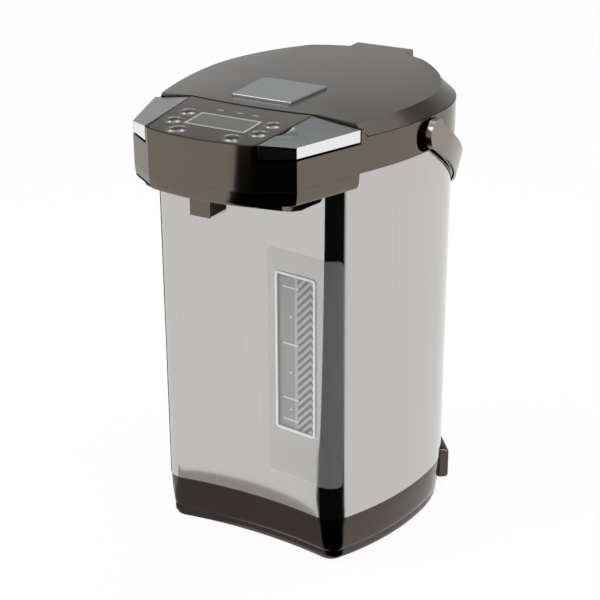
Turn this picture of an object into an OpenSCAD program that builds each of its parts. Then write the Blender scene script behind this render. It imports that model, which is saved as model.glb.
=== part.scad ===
/* [Body] */
// Width of the steel jacket at its widest
body_w = 206; // [202:1:210]
// Distance from the container axis to the middle of the hollow front
front_d = 104; // [102:1:106]
// How deep the front is hollowed between its two corners
front_sag = 7; // [5:1:8]
// Half the width over which the front is hollowed
front_half = 70; // [68:1:72]
// Radius of the long, nearly flat sides
side_r = 220; // [210:5:240]
// Radius of the two front corners
corner_r = 11; // [10:1:13]
// Radius of the rounded shoulders behind the widest section
shoulder_r = 90; // [88:1:92]
// Thickness of the jacket's steel sheet
jacket_t = 0.8; // [0.6:0.1:1]

/* [Heights] */
// How far the rubber feet stand out of the bottom cover
foot_h = 2; // [1.5:0.5:3]
// Height of the plastic base, from the table to the steel
base_h = 38; // [36:1:42]
// Height of the steel that shows between the base and the head
jacket_h = 273; // [265:1:285]
// Height of the head's side wall, from the steel to the lid
head_wall_h = 25; // [24:1:26]
// Height from the head's rim to the top of the lid
lid_rise = 14; // [13:0.5:15]

/* [Base] */
// Wall of the base and of the bottom cover
base_t = 2.6; // [2.2:0.2:3]
// How far the base is drawn in below the steel, at its upper edge
base_step = 0.4; // [0.2:0.1:0.8]
// How far the base is drawn in at its parting line
base_draft = 2.8; // [2:0.2:3.4]
// Height of the parting line between base and bottom cover
tray_h = 9; // [8:0.5:10]
// How far the bottom cover is drawn in at its lower edge
tray_inset = 6.2; // [5:0.2:7]
// Radius of a rubber foot
foot_r = 9; // [7:0.5:10]
// Direction that the power inlet faces, from the right-hand side towards the back
inlet_turn = 38; // [34:1:42]
// Width of the power inlet's housing
inlet_w = 42; // [38:1:44]
// How far the power inlet stands out of the steel
inlet_proud = 5; // [4:0.5:6]

/* [Head] */
// How far the head's wall stands proud of the steel
head_proud = 2; // [1.6:0.2:2.4]
// Wall of the head housing
head_t = 2.5; // [2.2:0.1:2.8]
// Distance from the container axis to the tip of the beak
beak_d = 170; // [166:1:174]
// Width of the beak's front face between its two chamfers
beak_face_w = 83; // [79:1:87]
// How far the front face bulges
beak_bulge = 5; // [4:0.5:6]
// Distance from the container axis to the rear end of the beak's chamfers
chamfer_d = 144; // [142:1:146]
// Angle by which the beak narrows on each side
beak_taper = 22.5; // [22:0.5:23.5]
// Radius of the beak's upright edges
beak_edge_r = 4; // [3.5:0.5:5]
// Fall of the control panel towards the front, in degrees
panel_fall = 4; // [3:0.5:5]
// Depth of the beak's under-cover where it meets the steel
keel_h = 26; // [24:1:28]
// Width of the deep part of the under-cover
keel_w = 112; // [104:2:116]

/* [Controls] */
// Thickness of the control film
film_t = 1.2; // [1:0.1:1.6]
// Width of the display window
lcd_w = 47; // [44:1:50]
// Depth of the display window, front to back
lcd_d = 21.5; // [20:0.5:23]
// Place of the display on the panel, as a share of the panel's depth from its rear edge
lcd_place = 0.486; // [0.475:0.001:0.495]
// Radius of a round button
button_r = 6; // [5:0.25:6.5]
// Distance from the middle line to the round buttons
button_x = 34.3; // [33:0.1:36]
// Distance between two round buttons on one side
button_pitch = 18; // [17:0.5:20]
// Distance from the middle line to the drop-shaped buttons
drop_x = 21.5; // [20:0.5:23]
// Travel of a button
button_travel = 0.8; // [0.5:0.1:1]
// Travel of the two silver keys
key_travel = 1.5; // [1:0.1:1.8]
// Gap round the silver keys
key_gap = 0.7; // [0.5:0.1:0.9]
// Fall of the silver keys towards the sides, in degrees
key_fall = 11; // [9:0.5:13]

/* [Lid] */
// Radius of the lid's front edge
lid_front_r = 404; // [380:4:440]
// Distance from the container axis to the middle of the lid's front edge
lid_front_d = 99; // [98:0.5:100]
// Width of the flat band along the top of the lid
band_w = 100; // [94:1:106]
// Fall of the lid's side facets from the band to the skirt
facet_fall = 7; // [6:0.5:8]
// Wall of the lid
lid_t = 2.5; // [2.2:0.1:2.8]
// Gap between the lid and the head
lid_gap = 0.4; // [0.3:0.1:0.6]
// Width of the release plate at its front edge
plate_w = 48; // [44:1:50]
// Length of the release plate, front to back
plate_l = 49; // [46:1:52]
// How far the release plate stands out of the lid
plate_proud = 1.8; // [1.4:0.1:2.2]
// How far the lid's bolt slides when the plate is pressed
bolt_travel = 2.4; // [2:0.1:2.6]

/* [Hinge and handle] */
// Width of the lid's hinge block
hinge_w = 49; // [45:1:53]
// Radius of the lid's hinge pin
hinge_pin_r = 3; // [2.5:0.25:3.5]
// Running clearance between a pin and its bore
run_gap = 0.08; // [0.05:0.01:0.1]
// Distance from the container axis to the handle's pivots
pivot_back = -20; // [-22:1:-18]
// Radius of the handle's pivot pins
pivot_r = 3.5; // [3:0.25:4]
// Width of the handle strap
strap_w = 19; // [17:0.5:20]
// Thickness of the handle strap beside the body
strap_side_t = 4; // [3.4:0.1:4]
// Thickness of the handle strap at the grip
strap_grip_t = 6.5; // [6:0.5:7]
// Distance from the pivots to the outside of the grip
strap_reach = 152; // [152:1:158]
// Angle at which the handle hangs below the level, in degrees
hang_angle = 33; // [31:0.5:34]

/* [Water system] */
// Inner radius of the container
pot_r = 84; // [82:0.5:85]
// Wall of the container
pot_t = 1.2; // [1:0.1:1.5]
// Height of the container's bottom above the table
pot_z = 62; // [60:1:66]
// Inner radius of the container's mouth
mouth_r = 78; // [76:0.5:79]
// Outer radius of the sight tube
tube_r = 7; // [6:0.25:7.5]
// Distance from the middle line to the sight tube
tube_x = 50; // [48:0.5:52]
// Inner radius of the hoses
hose_bore = 3.4; // [3:0.1:3.6]
// Wall of the hoses
hose_t = 1.7; // [1.5:0.1:1.8]
// Width of the spout
spout_w = 16.6; // [15.4:0.2:18]
// Depth of the spout, front to back
spout_d = 20.4; // [19:0.2:22]
// Distance from the container axis to the middle of the spout
spout_y = 154; // [152:0.5:155]
// Height of the spout's lower edge above the table
spout_z = 286.5; // [284:0.5:289]

/* [Level window] */
// Left edge of the clear window cover, from the middle line
cover_x = 15; // [13:1:18]
// Right edge of the clear window cover, from the middle line
cover_x_end = 79; // [76:1:80]
// Height of the cover's lower edge above the table
cover_z = 66; // [60:1:72]
// Height of the clear window cover
cover_h = 182; // [176:1:188]
// Left edge of the scale panel, from the middle line
scale_x = 24; // [22:0.5:26]
// Width of the scale panel
scale_w = 34.5; // [33:0.5:36]
// Height of the scale panel's lower edge above the table
scale_z = 105; // [100:1:110]
// Height of the scale panel
scale_h = 126; // [120:1:130]

/* [Hidden] */

$fn = 64;
e = 0.01;        // overlap that joins two shapes or clears a cut
big = 400;       // larger than the whole object
touch = 0.1;     // gap between two pieces that seat on each other
seat = 0.3;      // gap beside a piece that moves or is soft

// Heights above the table
head_z = base_h + jacket_h;
rim_z = head_z + head_wall_h;
top_z = rim_z + lid_rise;
deck_t = 3;
deck_z = rim_z - 8;          // floor of the well that the lid sits in
tuck = 4;                    // how far the jacket reaches over the base and into the head
shelf_t = 2.4;
shelf_z = base_h - 4;        // shelf inside the base that carries the container

// Plan view of the body: arcs that meet in line, and share their centres at every offset
front_r = (front_half * front_half + front_sag * front_sag) / (2 * front_sag);
front_c = [0, -front_d - front_r];
side_c = [body_w / 2 - side_r, 0];
corner_c = crossing(side_c, side_r - corner_r, front_c, front_r + corner_r);
corner_a0 = heading(front_c, corner_c);
corner_a1 = heading(side_c, corner_c);
shoulder_c = [body_w / 2 - shoulder_r, 0];
shoulder_turn = 50;
back_c = [0, -shoulder_c[0] * tan(shoulder_turn)];
back_r = shoulder_r + shoulder_c[0] / cos(shoulder_turn);
back_d = back_c[1] + back_r;

// Plan view of the beak
beak_r = (pow(beak_face_w / 2, 2) + pow(beak_bulge, 2)) / (2 * beak_bulge);
beak_c = [0, beak_r - beak_d];
face_a = -90 + asin(beak_face_w / 2 / beak_r);
face_end = beak_c + beak_r * dir(face_a);
side_line_r = side_r + head_proud;
chamfer_end = [(side_c[0] * cos(beak_taper) + side_line_r - chamfer_d * sin(beak_taper)) / cos(beak_taper),
               -chamfer_d];
chamfer_a = heading(face_end, chamfer_end) - 90;
deepest_inset = 12;
edge_trim = (beak_edge_r + deepest_inset) * tan((chamfer_a - face_a) / 2) / beak_r * 180 / PI;

// Under-cover of the beak
keel_side_h = 12;
keel_inset = 4;
keel_steps = [[-keel_inset, 0], [-1, 2], [-0.2, 4]];    // rounded lower edge, in steps
keel_rear = 94;              // where the under-cover ends beside the steel

// Lid and panel
lid_front_c = [0, lid_front_r - lid_front_d];
panel_y = -lid_front_d - 1;
panel_z = top_z - 2;
crown_r = 1650;              // long radius of the lid's gentle crown
crown_y = -30;
skirt_h = 6.7;
skirt_a = -29;
lid_side_r = 300;
lid_side_a = -20;
lid_back_r = 94;
lid_c = [0, -3];
bulkhead_step = 0.5;

// Silver keys
key_wall = 1.6;
key_floor_z = rim_z - 4.2;
key_strip = 3.5;             // strip of the head between a key and the lid
key_pitch = 4.9;             // fall of the keys towards the front, in degrees
key_front_x = beak_face_w / 2 + 4;
key_back_x = band_w / 2 + 0.8;
key_line_a = atan((key_back_x - key_front_x) / (beak_d - lid_front_d - 8));
key_stem_at = [60, -118];
key_bottom_z = key_floor_z + key_travel + 0.2;
key_bore_d = 6;              // depth of the hollow in a key that holds the top of its spring

// Hinge of the lid
hinge_y = back_d + head_proud + 6.3;
hinge_z = rim_z - 2;
hinge_r = 9;
ear_t = 5;
ear_gap = 0.6;

// Release plate and bolt
plate_front = lid_front_d - 14.5;
plate_taper = 3;
plate_rim = 0.5;             // gap round the release plate
plate_base_z = top_z - 2.7;
plate_axis = [-(plate_front - plate_l + 3), top_z - 3.7];
plate_pin_r = 1.5;
plate_press = 4;
tray_floor_z = top_z - 7;
tray_t = 1.6;
finger_y = -72;
finger_w = 10;
bolt_t = 3;
bolt_gap = 0.1;
bolt_z = tray_floor_z - tray_t - bolt_gap - bolt_t;
bolt_w = 22;
bolt_nose = 91;              // distance from the container axis to the tip of the bolt
bolt_l = 33;

// Handle
pivot_z = head_z + 12.4;
root_r = 11.2;
strap_x = body_w / 2 + head_proud + 0.5;
strap_straight = 18;         // length of the straight part of each arm
strap_a = strap_x + strap_side_t;
pocket_r = root_r + 0.6;
pocket_floor = 98.2;
pocket_front = 27.2;         // distance from the container axis to the pocket's front centre
pin_x = 94.4;
pin_head_r = 6;

// Lid of the container and its mouth
neck_top = rim_z - 18;
neck_z = deck_z - deck_t - 3.6;
neck_gap = 2.5;
flange_r = pot_r + 8;
plug_r = mouth_r - 4;
plug_z = neck_top - 5;

// Level window and hoses
tube_z0 = 92;
tube_z1 = 296;
tube_wall = 1.8;
hose_r = hose_bore + hose_t;
spigot_r = hose_bore * cos(22.5) - touch;    // fits inside the hose's eight sides
bend_r = 8.5;
hose_y = -62;                // where the delivery hose rises through the shelf's bore
hose_z = shelf_z + 14;       // middle of the windows in the container's bracket
spout_pipe_z = head_z + 9.8;
tube_y = front_c[1] + sqrt(front_r * front_r - tube_x * tube_x) + jacket_t + 3 + tube_r;
nozzle_z = spout_z + 3.5;
shroud_top = head_z - 8;

// Pump
pump_c = [20, -28];
pump_z = 22;
pump_r = 21;
pump_h = 14;

foot_places = [[-56, -84], [56, -84], [-52, 52], [52, 52]];
screw_places = [[-70, -74], [70, -74], [-66, 40], [66, 40]];
beak_screw_places = [[-36, -136], [36, -136]];

// The beak and the rearmost of hinge and handle reach equally far from the origin
handle_d = pivot_back + strap_reach * cos(hang_angle) + strap_w / 2 * sin(hang_angle);
shift_y = (beak_d - max(hinge_y + hinge_r, handle_d)) / 2;

function dir(a) = [cos(a), sin(a)];
function heading(a, b) = atan2(b[1] - a[1], b[0] - a[0]);
function arc(c, r, a0, a1, n, skip = 1) =
    [for (i = [skip:n]) c + r * dir(a0 + (a1 - a0) * i / n)];
// Right-hand point where the circles round c1 and c2 cross
function crossing(c1, r1, c2, r2) =
    let (d = norm(c2 - c1),
         a = (d * d + r1 * r1 - r2 * r2) / (2 * d),
         h = sqrt(r1 * r1 - a * a),
         u = (c2 - c1) / d)
    c1 + a * u + h * [-u[1], u[0]];
// Rounded corner at v between two edges whose outward normals point at a0 and a1
function corner(v, a0, a1, r, g) =
    let (rounding = max(r + g, 0.5))
    arc(v + dir((a0 + a1) / 2) * (g - rounding) / cos((a1 - a0) / 2), rounding, a0, a1, 5, 0);
function mirrored(h) =
    concat(h, [for (i = [len(h) - 1:-1:0]) if (h[i][0] > e) [-h[i][0], h[i][1]]]);
function rear_half(g) = concat(
    arc(shoulder_c, shoulder_r + g, 0, shoulder_turn, 9),
    arc(back_c, back_r + g, shoulder_turn, 90, 7));
// The body's outline, moved outwards by g
function body_points(g = 0) = mirrored(concat(
    arc(front_c, front_r - g, 90, corner_a0, 8, 0),
    arc(corner_c, corner_r + g, corner_a0 - 180, corner_a1, 8),
    arc(side_c, side_r + g, corner_a1, 0, 8),
    rear_half(g)));
// The head's outline with its chamfered beak, moved outwards by g
function head_points(g = 0) = mirrored(concat(
    arc(beak_c, beak_r + g, -90, face_a - edge_trim, 6, 0),
    corner(face_end, face_a, chamfer_a, beak_edge_r, g),
    corner(chamfer_end, chamfer_a, -beak_taper, beak_edge_r, g),
    arc(side_c, side_line_r + g, -beak_taper, 0, 8),
    rear_half(head_proud + g)));
// The lid's outline at its skirt and at its top edge, moved outwards by g
function lid_skirt(g) = mirrored(concat(
    [[0, -lid_front_d - 8]],
    arc(side_c, side_line_r + g, skirt_a, 0, 10, 0),
    rear_half(head_proud + g)));
function lid_edge(g) = mirrored(concat(
    [[0, -lid_front_d - 8]],
    arc(lid_c + [lid_back_r - lid_side_r, 0], lid_side_r + g, lid_side_a, 0, 10, 0),
    arc(lid_c, lid_back_r + g, 0, shoulder_turn, 9),
    arc(lid_c, lid_back_r + g, shoulder_turn, 90, 7)));
// Points along straight legs whose corners are rounded over a length r
function bends(p, r) = concat([p[0]],
    [for (i = [1:len(p) - 2])
        let (a = p[i] + r * unit(p[i - 1] - p[i]), b = p[i] + r * unit(p[i + 1] - p[i]))
        for (k = [0:5]) let (s = k / 5) (1 - s) * (1 - s) * a + 2 * s * (1 - s) * p[i] + s * s * b],
    [p[len(p) - 1]]);
function unit(v) = v / norm(v);
// Height of the lid's crown, moved outwards by g
function crown_z(y, g) = top_z - crown_r + sqrt(pow(crown_r + g, 2) - pow(y - crown_y, 2));

module placed() {
    translate([0, shift_y, 0]) children();
}

module prism(points, z0, z1) {
    translate([0, 0, z0]) linear_extrude(z1 - z0) polygon(points);
}

// Smooth skin through plan sections of equal length, one above the other
module loft(sections, heights) {
    n = len(sections[0]);
    m = len(sections);
    points = [for (j = [0:m - 1]) for (p = sections[j]) [p[0], p[1], heights[j]]];
    sides = [for (j = [0:m - 2]) for (i = [0:n - 1])
        [j * n + i, (j + 1) * n + i, (j + 1) * n + (i + 1) % n, j * n + (i + 1) % n]];
    bottom = [for (i = [0:n - 1]) i];
    top = [for (i = [n - 1:-1:0]) (m - 1) * n + i];
    polyhedron(points, concat([bottom, top], sides), convexity = 10);
}

// Tube with rings of eight points along a path that never runs along the reference direction
module hose(path, reference = [1, 0, 0]) {
    sides = 8;
    n = len(path);
    rings = [for (i = [0:n - 1])
        let (t = unit(path[min(i + 1, n - 1)] - path[max(i - 1, 0)]),
             u = unit(cross(t, reference)),
             v = cross(t, u))
        for (r = [hose_r, hose_bore]) for (k = [0:sides - 1])
            path[i] + r * (cos(360 * k / sides) * u + sin(360 * k / sides) * v)];
    step = 2 * sides;
    outer = [for (i = [0:n - 2]) for (k = [0:sides - 1]) let (a = i * step, j = (k + 1) % sides)
        [a + k, a + step + k, a + step + j, a + j]];
    inner = [for (f = outer) [f[3] + sides, f[2] + sides, f[1] + sides, f[0] + sides]];
    ends = [for (k = [0:sides - 1]) for (a = [0, (n - 1) * step]) let (j = (k + 1) % sides)
        a == 0 ? [k, j, sides + j, sides + k] : [a + j, a + k, a + sides + k, a + sides + j]];
    polyhedron(rings, concat(outer, inner, ends), convexity = 10);
}

module tube(r, bore, h) {
    difference() {
        cylinder(r = r, h = h);
        translate([0, 0, -1]) cylinder(r = bore, h = h + 2);
    }
}

module rounded_square(size, r) {
    translate([-size[0] / 2 + r, -size[1] / 2]) square([size[0] - 2 * r, size[1]]);
    translate([-size[0] / 2, -size[1] / 2 + r]) square([size[0], size[1] - 2 * r]);
    for (x = [-1, 1], y = [-1, 1])
        translate([x * (size[0] / 2 - r), y * (size[1] / 2 - r)]) circle(r);
}

// Round bar along X, centred on x = 0
module bar(r, l) {
    translate([-l / 2, 0, 0]) rotate([0, 90, 0]) cylinder(r = r, h = l);
}

module both_sides() {
    children();
    mirror([1, 0, 0]) children();
}

module coil_spring(r, wire, h, turns) {
    steps = 12;
    sides = 5;
    total = turns * steps;
    points = [for (i = [0:total])
        let (a = 360 * i / steps, z = wire + (h - 2 * wire) * i / total)
        for (k = [0:sides - 1])
            let (b = 360 * k / sides, q = r + wire * cos(b))
            [q * cos(a), q * sin(a), z + wire * sin(b)]];
    skin = [for (i = [0:total - 1]) for (k = [0:sides - 1]) let (a = i * sides, j = (k + 1) % sides)
        [a + k, a + j, a + sides + j, a + sides + k]];
    first = [for (k = [sides - 1:-1:0]) k];
    last = [for (k = [0:sides - 1]) total * sides + k];
    polyhedron(points, concat([first, last], skin), convexity = 10);
}

// Everything below a plane through p that falls a degrees forwards and b degrees to the right
module below(p, a, b = 0) {
    translate(p) rotate([a, b, 0]) translate([-big, -big, -big]) cube([2 * big, 2 * big, big]);
}

// Plan region in front of the lid, moved away from the lid by g
module in_front(g = 0) {
    difference() {
        translate([-big / 2, -big / 2]) square([big, big / 2 - 60]);
        translate(lid_front_c) circle(lid_front_r + g, $fn = 360);
    }
}

// Everything above a plane through p that falls a degrees forwards and b degrees to the right
module above(p, a, b = 0) {
    translate(p) rotate([a, b, 0]) translate([-big / 2, -big / 2, 0]) cube([big, big, 60]);
}

// Everything above the beak's roof: the panel's plane in the middle, the keys' planes beside it
module above_beak(drop) {
    above([0, panel_y, panel_z - drop], panel_fall);
    above([key_back_x, panel_y - 2, panel_z - drop], key_pitch, key_fall);
    above([-key_back_x, panel_y - 2, panel_z - drop], key_pitch, -key_fall);
}

// Plan region of the right-hand key, grown by g; its outer edge lies out from the head's wall
module key_region(g, out) {
    intersection() {
        polygon(head_points(out));
        in_front(key_strip - g);
        translate([key_front_x - g, -beak_d + 8]) rotate(-key_line_a) translate([0, -big / 2])
            square([big, big]);
    }
}

// The frame of the control panel: its top is z = 0, and y = 0 is its rear edge
module on_panel() {
    translate([0, panel_y, panel_z]) rotate([panel_fall, 0, 0]) children();
}
panel_d = beak_d - lid_front_d - 1;
display_y = -lcd_place * panel_d;
button_ys = [display_y + button_pitch / 2, display_y - button_pitch / 2];
drop_y = -0.814 * panel_d;
board_z = -16;
board_t = 1.6;
board_margin = 11;           // how far the board stays behind the beak's tip
board_rear = -16;
board_front = board_margin - panel_d;
board_w = beak_face_w + 3;
board_edge = 3;              // from the board's edge to its posts
board_posts = [[board_edge - 1 - board_w / 2, display_y], [board_w / 2 + 1 - board_edge, display_y],
               [0, board_front + board_edge], [0, board_rear - board_edge - 0.5]];

module jacket() {
    color("silver") difference() {
        prism(body_points(), base_h, head_z + tuck);
        prism(body_points(-jacket_t), base_h - 1, head_z + tuck + 1);
        handle_pockets();
        window_hole(0);
        inlet_place() translate([-inlet_w / 2 - touch, -30, 0]) cube([inlet_w + 2 * touch, 60, tray_h]);
    }
}

module base_ring() {
    color("#4a4541") difference() {
        union() {
            loft([body_points(-base_draft), body_points(-base_draft / 2), body_points(-base_step)],
                 [tray_h, tray_h + 12, base_h - touch]);
            prism(body_points(-jacket_t - touch), base_h - 1, base_h + tuck);
            inlet_place() translate([-inlet_w / 2, -4.4, tray_h]) inlet_block();
        }
        // Hollow below and above the shelf
        prism(body_points(-base_draft - base_t), tray_h - 1, shelf_z - shelf_t);
        prism(body_points(-base_t), shelf_z, base_h + tuck + 1);
        translate([0, 0, shelf_z - shelf_t - 1]) cylinder(r = shelf_bore, h = shelf_t + 2);
        inlet_recess(0);
    }
    color("#4a4541") for (p = screw_places) translate([p[0], p[1], 0]) difference() {
        translate([0, 0, tray_floor]) cylinder(r = 4.5, h = shelf_z - 1 - tray_floor);
        translate([0, 0, tray_floor - 1]) cylinder(r = 2, h = 16);
    }
}
shelf_bore = pot_r - 4;
tray_floor = foot_h + base_t + touch;
// The power inlet's own frame: y points out of the base, and y = 0 is the steel's outline
module inlet_place() {
    translate(shoulder_c) rotate(inlet_turn - 90) translate([0, shoulder_r, 0]) children();
}
module inlet_block() {
    cube([inlet_w, inlet_proud + 1.4, base_h - 3 - tray_h]);
    translate([3, 0, 0]) cube([inlet_w - 6, inlet_proud + 4.4, base_h - 3 - tray_h]);
    for (x = [3, inlet_w - 3]) translate([x, inlet_proud + 1.4, 0]) cylinder(r = 3, h = base_h - 3 - tray_h);
}
inlet_recess_w = inlet_w - 8;
inlet_recess_h = 15;
inlet_recess_z = 14;
inlet_recess_d = 13;
module inlet_recess(g) {
    inlet_place() translate([-inlet_recess_w / 2 + g, inlet_proud - inlet_recess_d - 2.4 + g, inlet_recess_z + g])
        cube([inlet_recess_w - 2 * g, inlet_recess_d + 2.4 + e, inlet_recess_h - 2 * g]);
}

module bottom_cover() {
    color("#3a3633") difference() {
        // Three steps follow the rounded lower edge
        for (k = [0:2]) prism(body_points(-tray_inset + k * (tray_inset - base_draft) / 2), foot_h + k * 1.6, tray_h - touch);
        prism(body_points(-tray_inset - base_t), foot_h + base_t, tray_h + 1);
        for (p = foot_places) translate([p[0], p[1], foot_h - 1]) cylinder(r = foot_r, h = 1.6);
        for (p = screw_places) translate([p[0], p[1], foot_h - 1]) {
            cylinder(r = 2, h = base_t + 2);
            cylinder(r = 3.6, h = 2.2);
        }
        for (i = [-4:4]) translate([i * 7 - 1.25, 8, foot_h - 1]) cube([2.5, 34, base_t + 2]);
    }
}

module rubber_feet() {
    color("#222222") for (p = foot_places) translate([p[0], p[1], 0])
        cylinder(r = foot_r - touch, h = foot_h + 0.6 - touch);
}

module bottom_screws() {
    color("silver") for (p = screw_places) translate([p[0], p[1], foot_h - 0.2]) {
        cylinder(r = 3.4, h = 1.3);
        cylinder(r = 1.9, h = 16);
    }
}

module head_housing() {
    color("#57524c") difference() {
        union() {
            difference() {
                prism(head_points(), head_z, top_z);
                translate([0, 0, rim_z]) lid_front_cylinder(lid_gap);
                above_beak(0);
            }
            hinge_ears();
        }
        head_hollow();
        // Well that the lid sits in
        difference() {
            intersection() {
                prism(head_points(-head_t), deck_z, top_z + 1);
                translate([0, 0, deck_z]) lid_front_cylinder(-bulkhead_step);
            }
            pocket_blocks(rim_z - touch);
        }
        both_sides() translate([0, 0, key_floor_z]) linear_extrude(30) key_region(key_gap, 1);
        on_panel() translate([0, 0, -film_t]) film_region(0, 10);
        on_panel() panel_openings(seat);
        // Mouth of the container
        translate([0, 0, head_z]) cylinder(r = mouth_r + neck_gap, h = 60, $fn = 96);
        // Groove that the steel jacket tucks into
        difference() {
            prism(body_points(touch), head_z - 1, head_z + tuck + seat);
            prism(body_points(-jacket_t - 0.5), head_z - 2, head_z + tuck + 1);
        }
        handle_pockets();
        both_sides() translate([pin_x - seat, pivot_back, pivot_z]) rotate([0, 90, 0])
            cylinder(r = pin_head_r + seat, h = pocket_floor - 1.8 - pin_x + seat);
        // Notch behind the rim for the lid's hinge block
        translate([-hinge_w / 2 - ear_gap, back_d - 4, hinge_z - hinge_r - 1.5])
            cube([hinge_w + 2 * ear_gap, 60, 40]);
        translate([0, hinge_y, hinge_z]) bar(hinge_pin_r + touch / 2, hinge_w + 4 * ear_t);
        both_sides() translate([key_stem_at[0], key_stem_at[1], key_floor_z - head_t - 1])
            cylinder(r = key_stem_r + seat, h = head_t + 2);
    }
    color("#57524c") on_panel() for (p = board_posts) translate([p[0], p[1], board_z + board_t + touch])
        cylinder(r = 2.5, h = -film_t - 1 - board_z - board_t);
}
key_stem_r = 2;

// Everything behind the lid's front edge, moved forwards by g
module lid_front_cylinder(g) {
    translate(lid_front_c) cylinder(r = lid_front_r + g, h = 60, $fn = 360);
}

// Hollow of the head: the deck, the neck, the key pockets and the handle's pockets stay solid
module head_hollow() {
    difference() {
        prism(head_points(-head_t), head_z - 1, top_z);
        above_beak(film_t + head_t);
        translate([0, 0, deck_z - deck_t]) lid_front_cylinder(head_t);
        both_sides() translate([0, 0, key_floor_z - head_t]) linear_extrude(30)
            key_region(key_gap + key_wall, 1);
        pocket_blocks(rim_z + 1);
        translate([0, 0, neck_z]) cylinder(r = flange_r + 1, h = 30, $fn = 96);
    }
}

module pocket_blocks(z1) {
    both_sides() translate([pocket_floor - 1.8, -pocket_front - pocket_r - 2, head_z - 2])
        cube([30, pocket_front + pivot_back + 2 * pocket_r + 4, z1 - head_z + 2]);
}

module hinge_ears() {
    both_sides() translate([hinge_w / 2 + ear_gap, hinge_y, hinge_z]) {
        rotate([0, 90, 0]) cylinder(r = hinge_r - 1.5, h = ear_t);
        translate([0, -13, 1.5 - hinge_r]) cube([ear_t, 13, rim_z - hinge_z + hinge_r - 1.5]);
    }
}

module handle_pockets() {
    both_sides() translate([pocket_floor, 0, pivot_z]) {
        rotate([90, 0, 90]) linear_extrude(20) {
            for (y = [-pocket_front, pivot_back]) translate([y, 0]) circle(pocket_r);
            translate([-pocket_front, -pocket_r]) square([pocket_front + pivot_back, 2 * pocket_r]);
        }
        translate([-20, pivot_back, 0]) rotate([0, 90, 0]) cylinder(r = pivot_r + touch / 2, h = 40);
    }
}

module round_shape(g) {
    circle(button_r + g);
}
module drop_shape(g) {
    r = button_r - 0.5 + g;
    circle(r);
    rotate(-45) square(0.97 * r);
}
module panel_openings(g) {
    for (x = [-button_x, button_x], y = button_ys) translate([x, y, -10]) linear_extrude(20) round_shape(g);
    both_sides() translate([drop_x, drop_y, -10]) linear_extrude(20) drop_shape(g);
    translate([-lcd_w / 2 - touch, display_y - lcd_d / 2 - touch, -10])
        cube([lcd_w + 2 * touch, lcd_d + 2 * touch, 20]);
}

// The film's plate in the panel's own frame, shrunk by g
module film_region(g, h) {
    linear_extrude(h) difference() {
        intersection() {
            translate([0, -panel_y]) polygon(head_points(-2 - g));
            translate([0, -panel_y]) in_front(1 + g);
        }
        both_sides() translate([0, -panel_y])
            translate([key_front_x - key_gap - key_wall - g, -beak_d + 8]) rotate(-key_line_a)
            translate([0, -big / 2]) square([big, big]);
    }
}

module control_film() {
    color("#6a6560") on_panel() difference() {
        translate([0, 0, -film_t + touch]) film_region(touch, film_t - touch);
        panel_openings(seat);
    }
}

module display_window() {
    color("#9aa29a") on_panel() translate([-lcd_w / 2, display_y - lcd_d / 2, -film_t - head_t])
        cube([lcd_w, lcd_d, film_t + head_t]);
}

module display_module() {
    color("#b8bdb4") on_panel()
        translate([-lcd_w / 2 + 1, display_y - lcd_d / 2 + 1, board_z + board_t + touch])
        cube([lcd_w - 2, lcd_d - 2, -film_t - head_t - board_z - board_t - 2 * touch]);
}

module control_board() {
    color("#2f6b3d") on_panel() translate([-board_w / 2, board_front, board_z])
        cube([board_w, board_rear - board_front, board_t]);
}

module button(x, y) {
    on_panel() translate([x, y, 0]) {
        translate([0, 0, -film_t - head_t - 1]) linear_extrude(film_t + head_t + 1.6) children(0);
        translate([0, 0, -film_t - head_t - seat - 1.5]) linear_extrude(1.5) children(1);
        translate([0, 0, button_foot_z]) cylinder(r = 2, h = -film_t - head_t - button_foot_z - 1);
    }
}
button_foot_z = board_z + board_t + button_travel + seat;
module round_button(x, y) {
    color("#7a746d") button(x, y) {
        round_shape(0);
        round_shape(1);
    }
}
module drop_button(side) {
    color("#7a746d") mirror([side < 0 ? 1 : 0, 0, 0]) button(drop_x, drop_y) {
        drop_shape(0);
        drop_shape(1);
    }
}

module right_key() {
    clip_z = key_floor_z - head_t - 1.3;
    color("silver") {
        difference() {
            intersection() {
                translate([0, 0, key_bottom_z]) linear_extrude(30) key_region(0, -0.2);
                below([key_back_x, panel_y - 2, panel_z], key_pitch, key_fall);
            }
            translate([key_stem_at[0], key_stem_at[1], key_bottom_z - 1])
                cylinder(r = 4.6, h = key_bore_d + 1);
        }
        translate([key_stem_at[0], key_stem_at[1], clip_z]) {
            cylinder(r = key_stem_r, h = key_bottom_z + key_bore_d + 1 - clip_z);
            cylinder(r = 4.5, h = 1);
        }
    }
}
module left_key() {
    mirror([1, 0, 0]) right_key();
}
// Coil round the key's stem, between the pocket's floor and the hollow in the key
module key_spring() {
    color("silver") translate([key_stem_at[0], key_stem_at[1], key_floor_z + touch])
        coil_spring(3.3, 0.5, key_bottom_z + key_bore_d - key_floor_z - 2 * touch, 4);
}

module lid_body(g, z0) {
    intersection() {
        loft([lid_skirt(g), lid_edge(g), lid_edge(g)],
             [z0, rim_z + seat + skirt_h, top_z + 5]);
        lid_roof(g);
        difference() {
            translate([-big, -big, z0]) cube([2 * big, 2 * big, big]);
            translate([0, 0, z0 - 1]) linear_extrude(big) in_front(g);
        }
    }
}

// Crowned roof: a flat band along the middle with a falling facet on each side
module lid_roof(g) {
    x1 = body_w / 2 + 10;
    fall = facet_fall * (x1 - band_w / 2) / (lid_back_r - band_w / 2);
    translate([0, crown_y, top_z - crown_r + g]) rotate([0, 90, 0])
        rotate_extrude($fn = 720) polygon([[0, -x1], [crown_r - fall, -x1], [crown_r, -band_w / 2],
            [crown_r, band_w / 2], [crown_r - fall, x1], [0, x1]]);
}

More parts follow.
